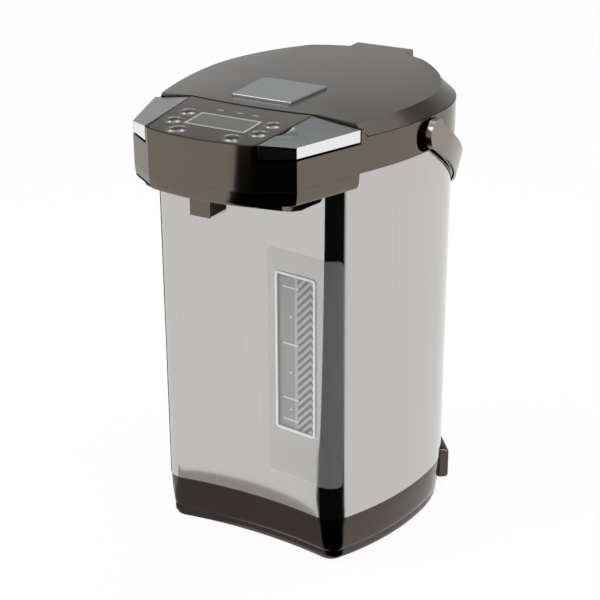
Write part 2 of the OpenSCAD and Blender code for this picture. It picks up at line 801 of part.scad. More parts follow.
module lid_outer() {
    color("#625e59") difference() {
        union() {
            difference() {
                lid_body(-seat, rim_z + seat);
                lid_body(-seat - lid_t, rim_z + seat - 1);
            }
            // Tray under the release plate
            intersection() {
                lid_body(-seat - 1, rim_z + seat);
                translate([0, 0, tray_floor_z - tray_t]) linear_extrude(big)
                    plate_shape(plate_rim + tray_t + 0.4);
            }
            hinge_block();
            bolt_rails();
        }
        translate([0, 0, tray_floor_z]) linear_extrude(big) plate_shape(plate_rim);
        translate([-finger_w / 2 - 0.5, finger_y - 1.5, tray_floor_z - 5]) cube([finger_w + 1, 14, 10]);
        translate([0, plate_axis[0], plate_axis[1]]) bar(plate_pin_r + touch / 2, plate_w + 12);
        translate([0, hinge_y, hinge_z]) bar(hinge_pin_r + run_gap, hinge_w + 20);
        // Room for the hinge ears
        both_sides() translate([hinge_w / 2, hinge_y, hinge_z]) rotate([0, 90, 0])
            cylinder(r = hinge_r - 1, h = ear_t + 2 * ear_gap);
    }
}

// Hooked rails under the tray that carry the bolt
module bolt_rails() {
    both_sides() translate([bolt_w / 2 - 1.5, -bolt_nose + 5, bolt_z - bolt_gap - 1.2]) {
        cube([3.4, 22, 1.2]);
        translate([1.5 + bolt_gap, 0, 0]) cube([1.9 - bolt_gap, 22, bolt_t + 2 * bolt_gap + 1.5]);
    }
}

module hinge_block() {
    translate([-hinge_w / 2, 0, 0]) rotate([90, 0, 90]) linear_extrude(hinge_w) {
        translate([hinge_y, hinge_z]) circle(hinge_r);
        translate([hinge_y - 11, hinge_z + 2.4]) square([11 + hinge_r - 3, 11.1]);
        translate([hinge_y, hinge_z]) square([hinge_r, 10.5]);
        translate([hinge_y + hinge_r - 3, hinge_z + 10.5]) circle(3);
    }
}

// Plan of the release plate, grown by g
module plate_shape(g) {
    polygon([[-plate_w / 2 - g, -plate_front - g], [plate_w / 2 + g, -plate_front - g],
             [plate_w / 2 + plate_taper + g, -plate_front + plate_l + g],
             [-plate_w / 2 - plate_taper - g, -plate_front + plate_l + g]]);
}

module release_plate() {
    color("lightgray") difference() {
        union() {
            intersection() {
                translate([0, 0, plate_base_z]) linear_extrude(20) plate_shape(0);
                rotate([90, 0, 90]) translate([0, 0, -plate_w]) linear_extrude(2 * plate_w)
                    polygon(concat([[1 - plate_front + plate_l, 0], [-1 - plate_front, 0]],
                        [for (i = [0:8]) let (y = -plate_front - 1 + i * (plate_l + 2) / 8)
                            [y, crown_z(y, plate_proud)]]));
            }
            translate([0, plate_axis[0], plate_axis[1]]) bar(plate_pin_r + 1.4, plate_w);
            rotate([90, 0, 90]) translate([0, 0, -finger_w / 2]) linear_extrude(finger_w)
                polygon([[finger_y - 0.5, plate_base_z + 1], [finger_y + 10, plate_base_z + 1],
                         [finger_y + 10, plate_base_z], [finger_y + 0.5, bolt_z + 0.5],
                         [finger_y - 0.5, bolt_z + 0.5]]);
        }
        translate([0, plate_axis[0], plate_axis[1]]) bar(plate_pin_r + run_gap, plate_w + 20);
    }
}

module plate_pin() {
    color("silver") translate([0, plate_axis[0], plate_axis[1]]) bar(plate_pin_r, plate_w + 8);
}

module plate_spring() {
    color("silver") translate([0, -56, tray_floor_z + touch])
        coil_spring(4, 0.4, plate_base_z - tray_floor_z - 2 * touch, 4);
}

module latch_bolt() {
    color("#8a8a86") translate([-bolt_w / 2, -bolt_nose, bolt_z]) difference() {
        cube([bolt_w, bolt_l, bolt_t]);
        translate([bolt_w / 2 - finger_w / 2 - 0.5, bolt_nose + finger_y - 5.5, -1])
            cube([finger_w + 1, 9.6, bolt_t + 2]);
        translate([-1, -1, bolt_t]) rotate([-35, 0, 0]) cube([bolt_w + 2, 8, 8]);
    }
}

module latch_keeper() {
    color("silver") translate([-9, -bolt_nose - seat, deck_z + touch]) {
        translate([0, -3.4, 0]) cube([18, 2, bolt_z + bolt_t + 1.4 - deck_z]);
        translate([0, -3.4, bolt_z + bolt_t + 0.4 - deck_z]) cube([18, 3.4, 1.4]);
        translate([0, -6.2, 0]) cube([18, 6.2, 1.5]);
    }
}

module lid_inner() {
    color("#8f8b85") difference() {
        lid_inner_shape(-head_t - 0.5, deck_z + 1.4, rim_z + seat - touch);
        lid_inner_shape(-head_t - 2.5, deck_z + 3.4, rim_z + seat + 1);
        translate([-11, -bolt_nose - 8, deck_z]) cube([22, 9.2, 20]);
        translate([0, 30, deck_z]) cylinder(r = 6, h = 20);
        // Room over the walls of the handle's pockets
        both_sides() translate([pocket_floor - 2.4, -pocket_front - pocket_r - 2.6, deck_z])
            cube([30, pocket_front + pivot_back + 2 * pocket_r + 5.2, 20]);
        translate([-hinge_w / 2 - ear_gap - ear_t, back_d - 6, deck_z]) cube([hinge_w + 2 * ear_gap + 2 * ear_t, 20, 20]);
    }
}
module lid_inner_shape(g, z0, z1) {
    difference() {
        prism(head_points(g), z0, z1);
        translate([0, 0, z0 - 1]) linear_extrude(big) in_front(g + head_t - bulkhead_step);
    }
}

module lid_disc() {
    color("silver") rotate_extrude($fn = 96) polygon([
        [0, plug_z], [plug_r - 3, plug_z], [plug_r, plug_z + 3], [plug_r, deck_z + 1.3],
        [plug_r - 8, deck_z + 1.3], [plug_r - 8, deck_z + 0.1], [plug_r - 1.2, deck_z + 0.1],
        [plug_r - 1.2, plug_z + 3.5], [plug_r - 3.5, plug_z + 1.2], [0, plug_z + 1.2]]);
}

module lid_gasket() {
    color("#d8d4cc") translate([0, 0, neck_top + pot_t + seat])
        tube(mouth_r + 1.3, plug_r + touch, 3, $fn = 96);
}

module steam_valve() {
    color("#8f8b85") translate([0, 30, 0]) difference() {
        union() {
            translate([0, 0, plug_z + 1.3]) cylinder(r = 9, h = deck_z + 1.2 - plug_z - 1.3);
            translate([0, 0, deck_z + 1]) cylinder(r = 5.9, h = 6);
        }
        translate([0, 0, plug_z + 4]) cylinder(r = 4, h = 40);
    }
}

module lid_hinge_pin() {
    color("silver") translate([0, hinge_y, hinge_z]) bar(hinge_pin_r, hinge_w + 2 * ear_gap + 2 * ear_t);
}

// Half of the strap's contour: half width a at the straight arms, reach b behind the pivots
function strap_half(a, b) = concat([[a, 0]],
    [for (i = [0:16]) [a * cos(90 * i / 16), strap_straight + (b - strap_straight) * sin(90 * i / 16)]]);
module strap_plan(grow) {
    outer = mirrored(strap_half(strap_a, strap_reach));
    inner = mirrored(strap_half(strap_x + grow, strap_reach - strap_grip_t + grow));
    polygon(concat(outer, [for (i = [len(inner) - 1:-1:0]) inner[i]]));
}
module handle() {
    color("#6a655e") translate([0, pivot_back, pivot_z]) difference() {
        union() {
            rotate([-hang_angle, 0, 0]) difference() {
                translate([0, 0, -strap_w / 2]) linear_extrude(strap_w) strap_plan(0);
                // Hollow underside of the grip
                intersection() {
                    translate([0, 0, -strap_w / 2 - 1]) linear_extrude(strap_w - 1.2) difference() {
                        polygon(mirrored(strap_half(strap_a - 1.6, strap_reach - 1.6)));
                        polygon(concat(mirrored(strap_half(strap_x + 1.4, strap_reach - strap_grip_t + 1.6)), [[0, -1]]));
                    }
                    translate([-big, 30, -big]) cube([2 * big, big, 2 * big]);
                }
            }
            both_sides() translate([pocket_floor + 1.6, 0, 0]) rotate([0, 90, 0])
                cylinder(r = root_r, h = strap_a - pocket_floor - 1.6);
        }
        both_sides() translate([pocket_floor - 2, 0, 0]) rotate([0, 90, 0])
            cylinder(r = pivot_r + run_gap, h = pin_reach - pocket_floor + 2 + seat);
        // The hanging strap stays clear of the body
        translate([0, -pivot_back, -pivot_z]) prism(body_points(0.8), head_z - 90, head_z - 10);
    }
}
pin_reach = 106.8;

module handle_pins() {
    color("silver") both_sides() translate([pin_x, pivot_back, pivot_z]) rotate([0, 90, 0]) {
        cylinder(r = pivot_r, h = pin_reach - pin_x);
        cylinder(r = pin_head_r, h = pocket_floor - 1.8 - pin_x - touch);
    }
}

// Upright rounded plate outline between x0 and x1, extruded along the view from the front
module front_slab(x0, x1, z0, z1, r) {
    translate([(x0 + x1) / 2, 0, (z0 + z1) / 2]) rotate([90, 0, 0]) linear_extrude(big / 2)
        rounded_square([x1 - x0, z1 - z0], r);
}

module window_hole(g) {
    front_slab(scale_x - g, scale_x + scale_w + g, scale_z - g, scale_z + scale_h + g, 3);
}

module window_cover() {
    color("white", 0.3) intersection() {
        difference() {
            prism(body_points(1.2), cover_z, cover_z + cover_h);
            prism(body_points(touch), cover_z - 1, cover_z + cover_h + 1);
        }
        front_slab(cover_x, cover_x_end, cover_z, cover_z + cover_h, 5);
    }
}

module scale_panel() {
    color("#b9b9b6") {
        intersection() {
            difference() {
                prism(body_points(-jacket_t - touch), scale_z - 5, scale_z + scale_h + 5);
                prism(body_points(-jacket_t - touch - 1.6), scale_z - 6, scale_z + scale_h + 6);
                front_slab(tube_x - tube_r - 1, tube_x + tube_r + 1, scale_z + 1, scale_z + scale_h - 1, 2);
            }
            front_slab(scale_x - 4, scale_x + scale_w + 5, scale_z - 5, scale_z + scale_h + 5, 3);
        }
        for (x = [tube_x - tube_r - 2.6, tube_x + tube_r + 1.2])
            translate([x, tube_y - 6, scale_z]) cube([1.4, tube_r + 6.4, scale_h]);
    }
}

module level_reflector() {
    color("#d8d8d4") translate([tube_x - tube_r - 2.6, tube_y + tube_r + 0.5, scale_z])
        cube([2 * tube_r + 5.2, 1.4, scale_h]);
}

module sight_tube() {
    color("white", 0.4) translate([tube_x, tube_y, tube_z0]) tube(tube_r, tube_r - tube_wall, tube_z1 - tube_z0);
}

module tube_seals() {
    color("#333333") for (z = [tube_z0 - 4, tube_z1 - 8]) translate([tube_x, tube_y, z]) difference() {
        cylinder(r = tube_r + 2.2, h = 12);
        translate([0, 0, z < tube_z1 / 2 ? 4 - touch : -1]) cylinder(r = tube_r + touch, h = 9 + touch);
        translate([0, 0, -1]) cylinder(r = hose_r + touch, h = 14);
    }
}

module container() {
    color("silver") difference() {
        union() {
            rotate_extrude($fn = 96) polygon([
                [0, pot_z], [pot_r + pot_t - 5, pot_z], [pot_r + pot_t, pot_z + 5],
                [pot_r + pot_t, neck_top - 9], [mouth_r + pot_t, neck_top - 3],
                [mouth_r + pot_t, neck_top], [flange_r, neck_top], [flange_r, neck_top + pot_t],
                [mouth_r, neck_top + pot_t], [mouth_r, neck_top - 3.6], [pot_r, neck_top - 9.6],
                [pot_r, pot_z + 5.5], [pot_r - 4.3, pot_z + pot_t], [0, pot_z + pot_t]]);
            translate([pump_c[0], pump_c[1], pot_z - 8]) cylinder(r = spigot_r, h = 8.5);
        }
        translate([pump_c[0], pump_c[1], pot_z - 9]) cylinder(r = hose_bore - 1, h = 12);
    }
}

module mouth_seal() {
    color("#d8d4cc") translate([0, 0, neck_top + pot_t + touch])
        tube(flange_r - 2, mouth_r + neck_gap + 1.5, neck_z - neck_top - pot_t - 2 * touch, $fn = 96);
}

module insulation() {
    color("#c9c4b4") translate([0, 0, pot_z + 6]) tube(pot_r + 6, pot_r + pot_t + seat, neck_top - 16 - pot_z - 6, $fn = 96);
}

module pot_bracket() {
    color("silver") difference() {
        union() {
            translate([0, 0, shelf_z + touch]) tube(shelf_bore - 1, shelf_bore - 2.2, pot_z - shelf_z - 2 * touch);
            translate([0, 0, shelf_z + touch]) tube(shelf_bore + 6, shelf_bore - 2.2, 1.2);
        }
        for (a = [0:60:300]) rotate(a) translate([40, -14, shelf_z + 8]) cube([60, 28, 12]);
    }
}

module heater() {
    color("#777777") difference() {
        translate([0, 0, pot_z - 4]) cylinder(r = 62, h = 4 - touch);
        translate([pump_c[0], pump_c[1], pot_z - 5]) cylinder(r = hose_r + 2, h = 8);
    }
}

module thermostat() {
    color("#8a8a86") translate([-10, 30, pot_z - 12]) {
        cylinder(r = 8, h = 8 - touch);
        for (x = [-4, 4]) translate([x - 1, -1, -5]) cube([2, 2, 6]);
    }
}

module pump_housing() {
    color("#d8d4cc") translate([pump_c[0], pump_c[1], 0]) difference() {
        union() {
            translate([0, 0, pump_z]) cylinder(r = pump_r, h = pump_h);
            translate([0, 0, pump_z + pump_h - 1]) cylinder(r = spigot_r, h = 9);
            translate([pump_r - 6, 0, pump_z + 5]) rotate([90, 0, 0]) cylinder(r = spigot_r, h = pump_r + 4);
            for (a = [60, 180, 300]) rotate(a) translate([pump_r - 4, 0, tray_floor]) cylinder(r = 3, h = pump_z - tray_floor + 1);
        }
        translate([0, 0, pump_z + 1.6]) cylinder(r = pump_r - 1.6, h = pump_h - 3.2);
        translate([0, 0, pump_z + 2]) cylinder(r = hose_bore - 1.2, h = pump_h + 10);
        translate([pump_r - 6, 0, pump_z + 5]) rotate([90, 0, 0]) cylinder(r = hose_bore - 1.2, h = pump_r + 6);
    }
}

module pump_impeller() {
    color("white") translate([pump_c[0], pump_c[1], pump_z + 2]) {
        cylinder(r = pump_r - 4, h = 2);
        for (a = [0:60:300]) rotate(a) translate([4, -0.8, 1.9]) cube([pump_r - 9, 1.6, 7]);
    }
}

module drive_magnet() {
    color("#444444") translate([pump_c[0], pump_c[1], pump_z + 2 + 2 + touch]) tube(3.8, 1, 6);
}

module pump_motor() {
    color("#999999") translate([pump_c[0], pump_c[1], 0]) {
        translate([0, 0, tray_floor]) cylinder(r = 12, h = pump_z - tray_floor - 3);
        translate([0, 0, pump_z - 3.1]) cylinder(r = 3, h = 2.5);
    }
}

module suction_hose() {
    color("#e6e2da") hose([[pump_c[0], pump_c[1], pump_z + pump_h + 1], [pump_c[0], pump_c[1], 43],
                           [pump_c[0], pump_c[1], pot_z - touch]]);
}

module delivery_hose() {
    start = [pump_c[0] + pump_r - 6, pump_c[1] - pump_r + 1, pump_z + 5];
    color("#e6e2da") hose(bends([start, [start[0], hose_y, start[2]], [start[0], hose_y, hose_z],
                                 [tube_x, tube_y, hose_z], [tube_x, tube_y, tube_z0 + 4]], bend_r),
                          unit([tube_y - hose_y, start[0] - tube_x, 0]));
}

module spout_hose() {
    color("#e6e2da") hose(bends([[tube_x, tube_y, tube_z1 - 4], [tube_x, tube_y, spout_pipe_z],
                                 [0, -spout_y, spout_pipe_z], [0, -spout_y, shroud_top + 2.2]], 12),
                           unit([spout_y + tube_y, -tube_x, 0]));
}

module spout_nozzle() {
    color("#8a8a86") translate([0, -spout_y, 0]) {
        translate([0, 0, nozzle_z]) tube(hose_r - touch, hose_bore - 1, shroud_top - nozzle_z + 1);
        translate([0, 0, shroud_top + touch]) tube(hose_r + 2.4, hose_bore - 1, 2);
        translate([0, 0, shroud_top + 1]) tube(spigot_r, hose_bore - 1, 4.8);
    }
}

module spout_shape(g) {
    translate([0, -spout_y]) rounded_square([spout_w + 2 * g, spout_d + 2 * g], 1.2);
}

module spout_shroud() {
    color("#3a3531") difference() {
        translate([0, 0, spout_z + 1.5]) linear_extrude(shroud_top - spout_z - 1.5) spout_shape(0);
        translate([0, 0, spout_z]) linear_extrude(shroud_top - 1.6 - spout_z)
            translate([0, -spout_y]) square([spout_w - 3.2, spout_d - 3.2], center = true);
        translate([0, -spout_y, spout_z]) cylinder(r = hose_r, h = 40);
    }
}

module spout_rim() {
    color("white") difference() {
        translate([0, 0, spout_z]) linear_extrude(1.5 - touch) spout_shape(0);
        translate([0, -spout_y, spout_z - 1]) linear_extrude(4)
            square([spout_w - 2.8, spout_d - 2.8], center = true);
    }
}

module beak_cover() {
    color("#57524c") difference() {
        union() {
            for (k = keel_steps) prism(head_points(k[0]), head_z - keel_side_h + k[1], head_z - touch);
            keel(0);
        }
        for (k = keel_steps) prism(head_points(k[0] - head_t), head_z - keel_side_h + k[1] + head_t, head_z + 1);
        keel(head_t);
        prism(body_points(seat), head_z - 2 * keel_h, head_z + 10);
        translate([-big / 2, -keel_rear, head_z - 2 * keel_h]) cube([big, big, 3 * keel_h]);
        translate([0, 0, head_z - 2 * keel_h]) linear_extrude(3 * keel_h) spout_shape(touch);
        for (p = beak_screw_places) translate([p[0], p[1], head_z - 40]) cylinder(r = 2, h = 60);
    }
}
// The deep middle of the under-cover, which slopes down towards the steel
module keel(g) {
    z0 = head_z - keel_h;
    intersection() {
        translate([g - keel_w / 2, 0, 0]) rotate([90, 0, 90]) linear_extrude(keel_w - 2 * g)
            polygon([[-beak_d + keel_inset + 1 + g, head_z - keel_side_h + 1 + g],
                     [-beak_d + keel_inset + 5 + g, head_z - keel_side_h - 0.5 + g],
                     [-138, z0 + 5 + g], [-124, z0 + 1.2 + g], [-108, z0 + g], [-60, z0 + g],
                     [-60, head_z - keel_side_h + 4 + g],
                     [-beak_d + keel_inset + 1 + g, head_z - keel_side_h + 4 + g]]);
        prism(head_points(-keel_inset - 0.5 - 1.5 * g), head_z - 2 * keel_h, head_z);
    }
}

module beak_screws() {
    color("silver") for (p = beak_screw_places) translate([p[0], p[1], head_z - 24.3]) {
        cylinder(r = 3.2, h = 1.8);
        cylinder(r = 1.9, h = 20);
    }
}

module power_board() {
    color("#2f6b3d") {
        translate([-62, -62, tray_floor + 5]) cube([56, 92, 1.6]);
        for (x = [-58, -10], y = [-58, 26]) translate([x, y, tray_floor]) cylinder(r = 2.5, h = 5 + e);
        translate([-56, -50, tray_floor + 6.5]) cube([20, 24, 14]);
        translate([-30, 0, tray_floor + 6.5]) cylinder(r = 7, h = 15);
    }
}

module power_inlet() {
    color("#1c1c1c") inlet_place() difference() {
        translate([-inlet_recess_w / 2 + touch, inlet_proud - inlet_recess_d - 2.3, inlet_recess_z + touch])
            cube([inlet_recess_w - 2 * touch, inlet_recess_d + 1.8, inlet_recess_h - 2 * touch]);
        translate([-inlet_recess_w / 2 + 2, inlet_proud - inlet_recess_d, inlet_recess_z + 2])
            cube([inlet_recess_w - 4, inlet_recess_d + 3, inlet_recess_h - 4]);
        for (x = [-8, 8]) translate([x, inlet_proud - inlet_recess_d - 5, inlet_recess_z + inlet_recess_h / 2])
            rotate([-90, 0, 0]) cylinder(r = 1.5 + touch, h = 8);
    }
}

module inlet_pins() {
    color("gold") inlet_place() for (x = [-8, 8])
        translate([x, inlet_proud - inlet_recess_d - 5, inlet_recess_z + inlet_recess_h / 2])
        rotate([-90, 0, 0]) cylinder(r = 1.5, h = 13);
}

placed() jacket();
placed() base_ring();
placed() bottom_cover();
placed() rubber_feet();
placed() bottom_screws();
placed() head_housing();
placed() beak_cover();
placed() beak_screws();
placed() spout_shroud();
placed() spout_rim();
placed() spout_nozzle();
placed() control_film();
placed() display_window();
placed() display_module();
placed() control_board();
placed() round_button(-button_x, button_ys[0]);  // round_button_left_rear
placed() round_button(-button_x, button_ys[1]);  // round_button_left_front
placed() round_button(button_x, button_ys[0]);  // round_button_right_rear
placed() round_button(button_x, button_ys[1]);  // round_button_right_front
placed() drop_button(-1);  // drop_button_left
placed() drop_button(1);  // drop_button_right
placed() left_key();
placed() right_key();
placed() mirror([1, 0, 0]) key_spring();  // left_key_spring
placed() key_spring();  // right_key_spring
placed() lid_outer();
placed() lid_inner();
placed() lid_disc();
placed() lid_gasket();
placed() steam_valve();
placed() release_plate();
placed() plate_pin();
placed() plate_spring();
placed() latch_bolt();
placed() latch_keeper();
placed() lid_hinge_pin();
placed() handle();
placed() handle_pins();
placed() window_cover();
placed() scale_panel();
placed() level_reflector();
placed() sight_tube();
placed() tube_seals();
placed() container();
placed() mouth_seal();
placed() insulation();
placed() pot_bracket();
placed() heater();
placed() thermostat();
placed() pump_housing();
placed() pump_impeller();
placed() drive_magnet();
placed() pump_motor();
placed() suction_hose();
placed() delivery_hose();
placed() spout_hose();
placed() power_board();
placed() power_inlet();
placed() inlet_pins();
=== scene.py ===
import math

import bmesh
import bpy
from mathutils import Matrix, Vector


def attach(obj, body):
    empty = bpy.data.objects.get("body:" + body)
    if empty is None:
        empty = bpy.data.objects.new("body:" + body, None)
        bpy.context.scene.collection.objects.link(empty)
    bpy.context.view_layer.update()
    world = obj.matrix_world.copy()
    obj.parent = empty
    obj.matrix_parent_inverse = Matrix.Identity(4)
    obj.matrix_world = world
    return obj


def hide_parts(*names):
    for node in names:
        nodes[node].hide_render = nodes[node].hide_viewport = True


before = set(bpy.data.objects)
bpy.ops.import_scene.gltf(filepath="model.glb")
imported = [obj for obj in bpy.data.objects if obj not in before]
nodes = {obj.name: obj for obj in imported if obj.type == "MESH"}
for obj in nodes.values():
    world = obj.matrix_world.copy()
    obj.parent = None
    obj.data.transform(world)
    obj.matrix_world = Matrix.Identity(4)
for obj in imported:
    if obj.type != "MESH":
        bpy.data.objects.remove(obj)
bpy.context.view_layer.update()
scene = bpy.context.scene

# All lengths below are millimetres from the container's axis, which stands SHIFT behind the origin.
MM = 0.001
SHIFT = 28.674

BASE_H = 38.0
HEAD_Z = 311.0
RIM_Z = 336.0
TOP_Z = 350.0
DECK_Z = 328.0


# ---------------------------------------------------------------- plan outlines

def ray(angle):
    """Unit vector in plan at an angle in degrees."""
    return Vector((math.cos(math.radians(angle)), math.sin(math.radians(angle))))


def heading(a, b):
    """Direction in degrees from a to b."""
    return math.degrees(math.atan2(b[1] - a[1], b[0] - a[0]))


def arc(centre, radius, start, end, count, skip=1):
    """Points along an arc between two angles, without its first unless skip is 0."""
    c = Vector(centre)
    return [c + radius * ray(start + (end - start) * i / count) for i in range(skip, count + 1)]


def crossing(c1, r1, c2, r2):
    """Right-hand point where two circles cross."""
    c1, c2 = Vector(c1), Vector(c2)
    d = (c2 - c1).length
    a = (d * d + r1 * r1 - r2 * r2) / (2 * d)
    h = math.sqrt(r1 * r1 - a * a)
    u = (c2 - c1) / d
    return c1 + a * u + h * Vector((-u[1], u[0]))


FRONT_R = 353.5
FRONT_C = (0.0, -457.5)
SIDE_R = 220.0
SIDE_C = (-117.0, 0.0)
CORNER_R = 14.5
CORNER_C = crossing(SIDE_C, SIDE_R - CORNER_R, FRONT_C, FRONT_R + CORNER_R)
CORNER_A0 = heading(FRONT_C, CORNER_C)
CORNER_A1 = heading(SIDE_C, CORNER_C)
SHOULDER_C = (13.0, 0.0)
SHOULDER_R = 90.0
TURN = 50.0
BACK_C = (0.0, -13.0 * math.tan(math.radians(TURN)))
BACK_R = 90.0 + 13.0 / math.cos(math.radians(TURN))
BACK_D = BACK_C[1] + BACK_R

HEAD_PROUD = 2.0
SIDE_LINE = SIDE_R + HEAD_PROUD
BEAK_D = 170.0
BEAK_HALF = 41.5
BEAK_R = (BEAK_HALF ** 2 + 25.0) / 10.0
BEAK_C = (0.0, BEAK_R - BEAK_D)
FACE_A = -90.0 + math.degrees(math.asin(BEAK_HALF / BEAK_R))
FACE_END = Vector(BEAK_C) + BEAK_R * ray(FACE_A)
TAPER = 19.5
CHAMFER_D = 148.0
CHAMFER_END = Vector(((SIDE_C[0] * math.cos(math.radians(TAPER)) + SIDE_LINE
                       - CHAMFER_D * math.sin(math.radians(TAPER))) / math.cos(math.radians(TAPER)),
                      -CHAMFER_D))
CHAMFER_A = heading(FACE_END, CHAMFER_END) - 90.0
EDGE_R = 4.0

LID_FRONT_R = 404.0
LID_FRONT_D = 99.0
LID_FRONT_C = (0.0, LID_FRONT_R - LID_FRONT_D)
LID_C = Vector((0.0, -3.0))
LID_HALF = 94.0
LID_SIDE_R = 300.0
LID_EDGE_H = 9.0
PANEL_Y = -100.0
PANEL_Z = 348.0
PANEL_FALL = math.radians(4.0)


def corner(v, a0, a1, r, g, count=8):
    """Rounded corner at v between two sides that face a0 and a1, moved out by g."""
    rr = max(r + g, 0.5)
    c = Vector(v) + ray((a0 + a1) / 2) * (g - rr) / math.cos(math.radians((a1 - a0) / 2))
    return arc(c, rr, a0, a1, count, 0)


def mirrored(half):
    """Whole outline from its right-hand half."""
    return list(half) + [Vector((-p[0], p[1])) for p in reversed(half) if p[0] > 0.01]


def rear_half(g):
    """Right-hand half of the round back, moved out by g."""
    return arc(SHOULDER_C, SHOULDER_R + g, 0, TURN, 30) + arc(BACK_C, BACK_R + g, TURN, 90, 24)


def body_outline(g=0.0):
    """Steel body in plan: hollow front, rounded corners, bowed sides and round back."""
    return mirrored(arc(FRONT_C, FRONT_R - g, 90, CORNER_A0, 16, 0)
                    + arc(CORNER_C, CORNER_R + g, CORNER_A0 - 180, CORNER_A1, 16)
                    + arc(SIDE_C, SIDE_R + g, CORNER_A1, 0, 24)
                    + rear_half(g))


def head_outline(g=0.0):
    """Head in plan: the beak's bowed front and chamfers run into the body's sides."""
    trim = math.degrees((EDGE_R + 12) * math.tan(math.radians((CHAMFER_A - FACE_A) / 2)) / BEAK_R)
    return mirrored(arc(BEAK_C, BEAK_R + g, -90, FACE_A - trim, 12, 0)
                    + corner(FACE_END, FACE_A, CHAMFER_A, EDGE_R, g)
                    + corner(CHAMFER_END, CHAMFER_A, -TAPER, EDGE_R, g)
                    + arc(SIDE_C, SIDE_LINE + g, -TAPER, 0, 24)
                    + rear_half(HEAD_PROUD + g))


def lid_skirt_outline(g):
    """Lid in plan at its lower edge, flush with the head."""
    return mirrored([Vector((0.0, -LID_FRONT_D - 8))]
                    + arc(SIDE_C, SIDE_LINE + g, -29, 0, 30, 0)
                    + rear_half(HEAD_PROUD + g))


def lid_edge_outline(g):
    """Lid in plan where its side meets its top."""
    return mirrored([Vector((0.0, -LID_FRONT_D - 8))]
                    + arc(LID_C + Vector((LID_HALF - LID_SIDE_R, 0.0)), LID_SIDE_R + g, -20, 0, 30, 0)
                    + arc(LID_C, LID_HALF + g, 0, TURN, 30)
                    + arc(LID_C, LID_HALF + g, TURN, 90, 24))


# ---------------------------------------------------------------- mesh helpers

def place(p):
    """Point in metres in the frame from millimetres."""
    return Vector((p[0] * MM, (p[1] + SHIFT) * MM, p[2] * MM))


def piece(name, points, faces, finish=None, body=None, smooth=32):
    """New object from points in millimetres; body makes it a piece of the pot."""
    mesh = bpy.data.meshes.new(name)
    mesh.from_pydata([place(p) for p in points], [], faces)
    bm = bmesh.new()
    bm.from_mesh(mesh)
    bmesh.ops.remove_doubles(bm, verts=bm.verts, dist=1e-6)
    bmesh.ops.recalc_face_normals(bm, faces=bm.faces)
    bm.to_mesh(mesh)
    bm.free()
    obj = bpy.data.objects.new(name, mesh)
    scene.collection.objects.link(obj)
    soften(obj, smooth)
    if finish:
        mesh.materials.append(finish)
    if body:
        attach(obj, body)
    return obj


def soften(obj, angle):
    """Smooth shading with sharp edges where faces turn by more than the angle."""
    mesh = obj.data
    for p in mesh.polygons:
        p.use_smooth = True
    mesh.set_sharp_from_angle(angle=math.radians(angle))


def rings(name, sections, heights=None, closed=False, **kw):
    """Skin through sections of equal length, with flat ends unless it closes on itself."""
    n = len(sections[0])
    if heights is not None:
        sections = [[(p[0], p[1], z) for p in s] for s, z in zip(sections, heights)]
    points = [p for s in sections for p in s]
    m = len(sections)
    faces = []
    for j in range(m if closed else m - 1):
        k = (j + 1) % m
        faces += [[j * n + i, j * n + (i + 1) % n, k * n + (i + 1) % n, k * n + i] for i in range(n)]
    if not closed:
        faces += [list(range(n)), list(range((m - 1) * n, m * n))]
    return piece(name, points, faces, **kw)


def block(name, x, y, z, **kw):
    """Box between two values on each axis."""
    pts = [(x[i], y[j], z[k]) for k in (0, 1) for j in (0, 1) for i in (0, 1)]
    faces = [[0, 1, 3, 2], [4, 5, 7, 6], [0, 1, 5, 4], [2, 3, 7, 6], [0, 2, 6, 4], [1, 3, 7, 5]]
    return piece(name, pts, faces, **kw)


def disc(centre, r, z0, z1, name="drum", count=96, **kw):
    """Upright cylinder."""
    ring = [Vector(centre) + r * ray(360 * i / count) for i in range(count)]
    return rings(name, [ring, ring], [z0, z1], **kw)


def turned(obj, matrix):
    """Moves the mesh itself, about a point given in millimetres by the matrix."""
    obj.data.transform(matrix)
    obj.data.update()
    return obj


def about(point, axis, degrees):
    """Turn about an axis through a point."""
    c = place(point)
    return Matrix.Translation(c) @ Matrix.Rotation(math.radians(degrees), 4, axis) @ Matrix.Translation(-c)


def settled(obj):
    """Applies the object's modifiers."""
    depsgraph = bpy.context.evaluated_depsgraph_get()
    mesh = bpy.data.meshes.new_from_object(obj.evaluated_get(depsgraph))
    obj.modifiers.clear()
    old = obj.data
    obj.data = mesh
    bpy.data.meshes.remove(old)
    mesh.name = obj.name
    return obj


def carve(obj, *tools, how="DIFFERENCE"):
    """Cuts, joins or intersects the object with other solids, which are used up."""
    for t in tools:
        m = obj.modifiers.new("carve", "BOOLEAN")
        m.operation = how
        m.solver = "EXACT"
        m.object = t
        bpy.context.view_layer.update()
        settled(obj)
        mesh = t.data
        bpy.data.objects.remove(t)
        bpy.data.meshes.remove(mesh)
    return obj


def eased(obj, width, segments=2, limit=30, smooth=32):
    """Rounds the sharp edges over a width in millimetres."""
    bm = bmesh.new()
    bm.from_mesh(obj.data)
    bmesh.ops.remove_doubles(bm, verts=bm.verts, dist=2e-6)
    bmesh.ops.dissolve_degenerate(bm, dist=2e-6, edges=bm.edges)
    bm.to_mesh(obj.data)
    bm.free()
    m = obj.modifiers.new("ease", "BEVEL")
    m.width = width * MM
    m.segments = segments
    m.limit_method = "ANGLE"
    m.angle_limit = math.radians(limit)
    m.use_clamp_overlap = True
    m.miter_outer = "MITER_ARC"
    settled(obj)
    soften(obj, smooth)
    # Large faces keep their own direction beside the rounded edges
    w = obj.modifiers.new("level", "WEIGHTED_NORMAL")
    w.weight = 60
    w.keep_sharp = True
    return settled(obj)


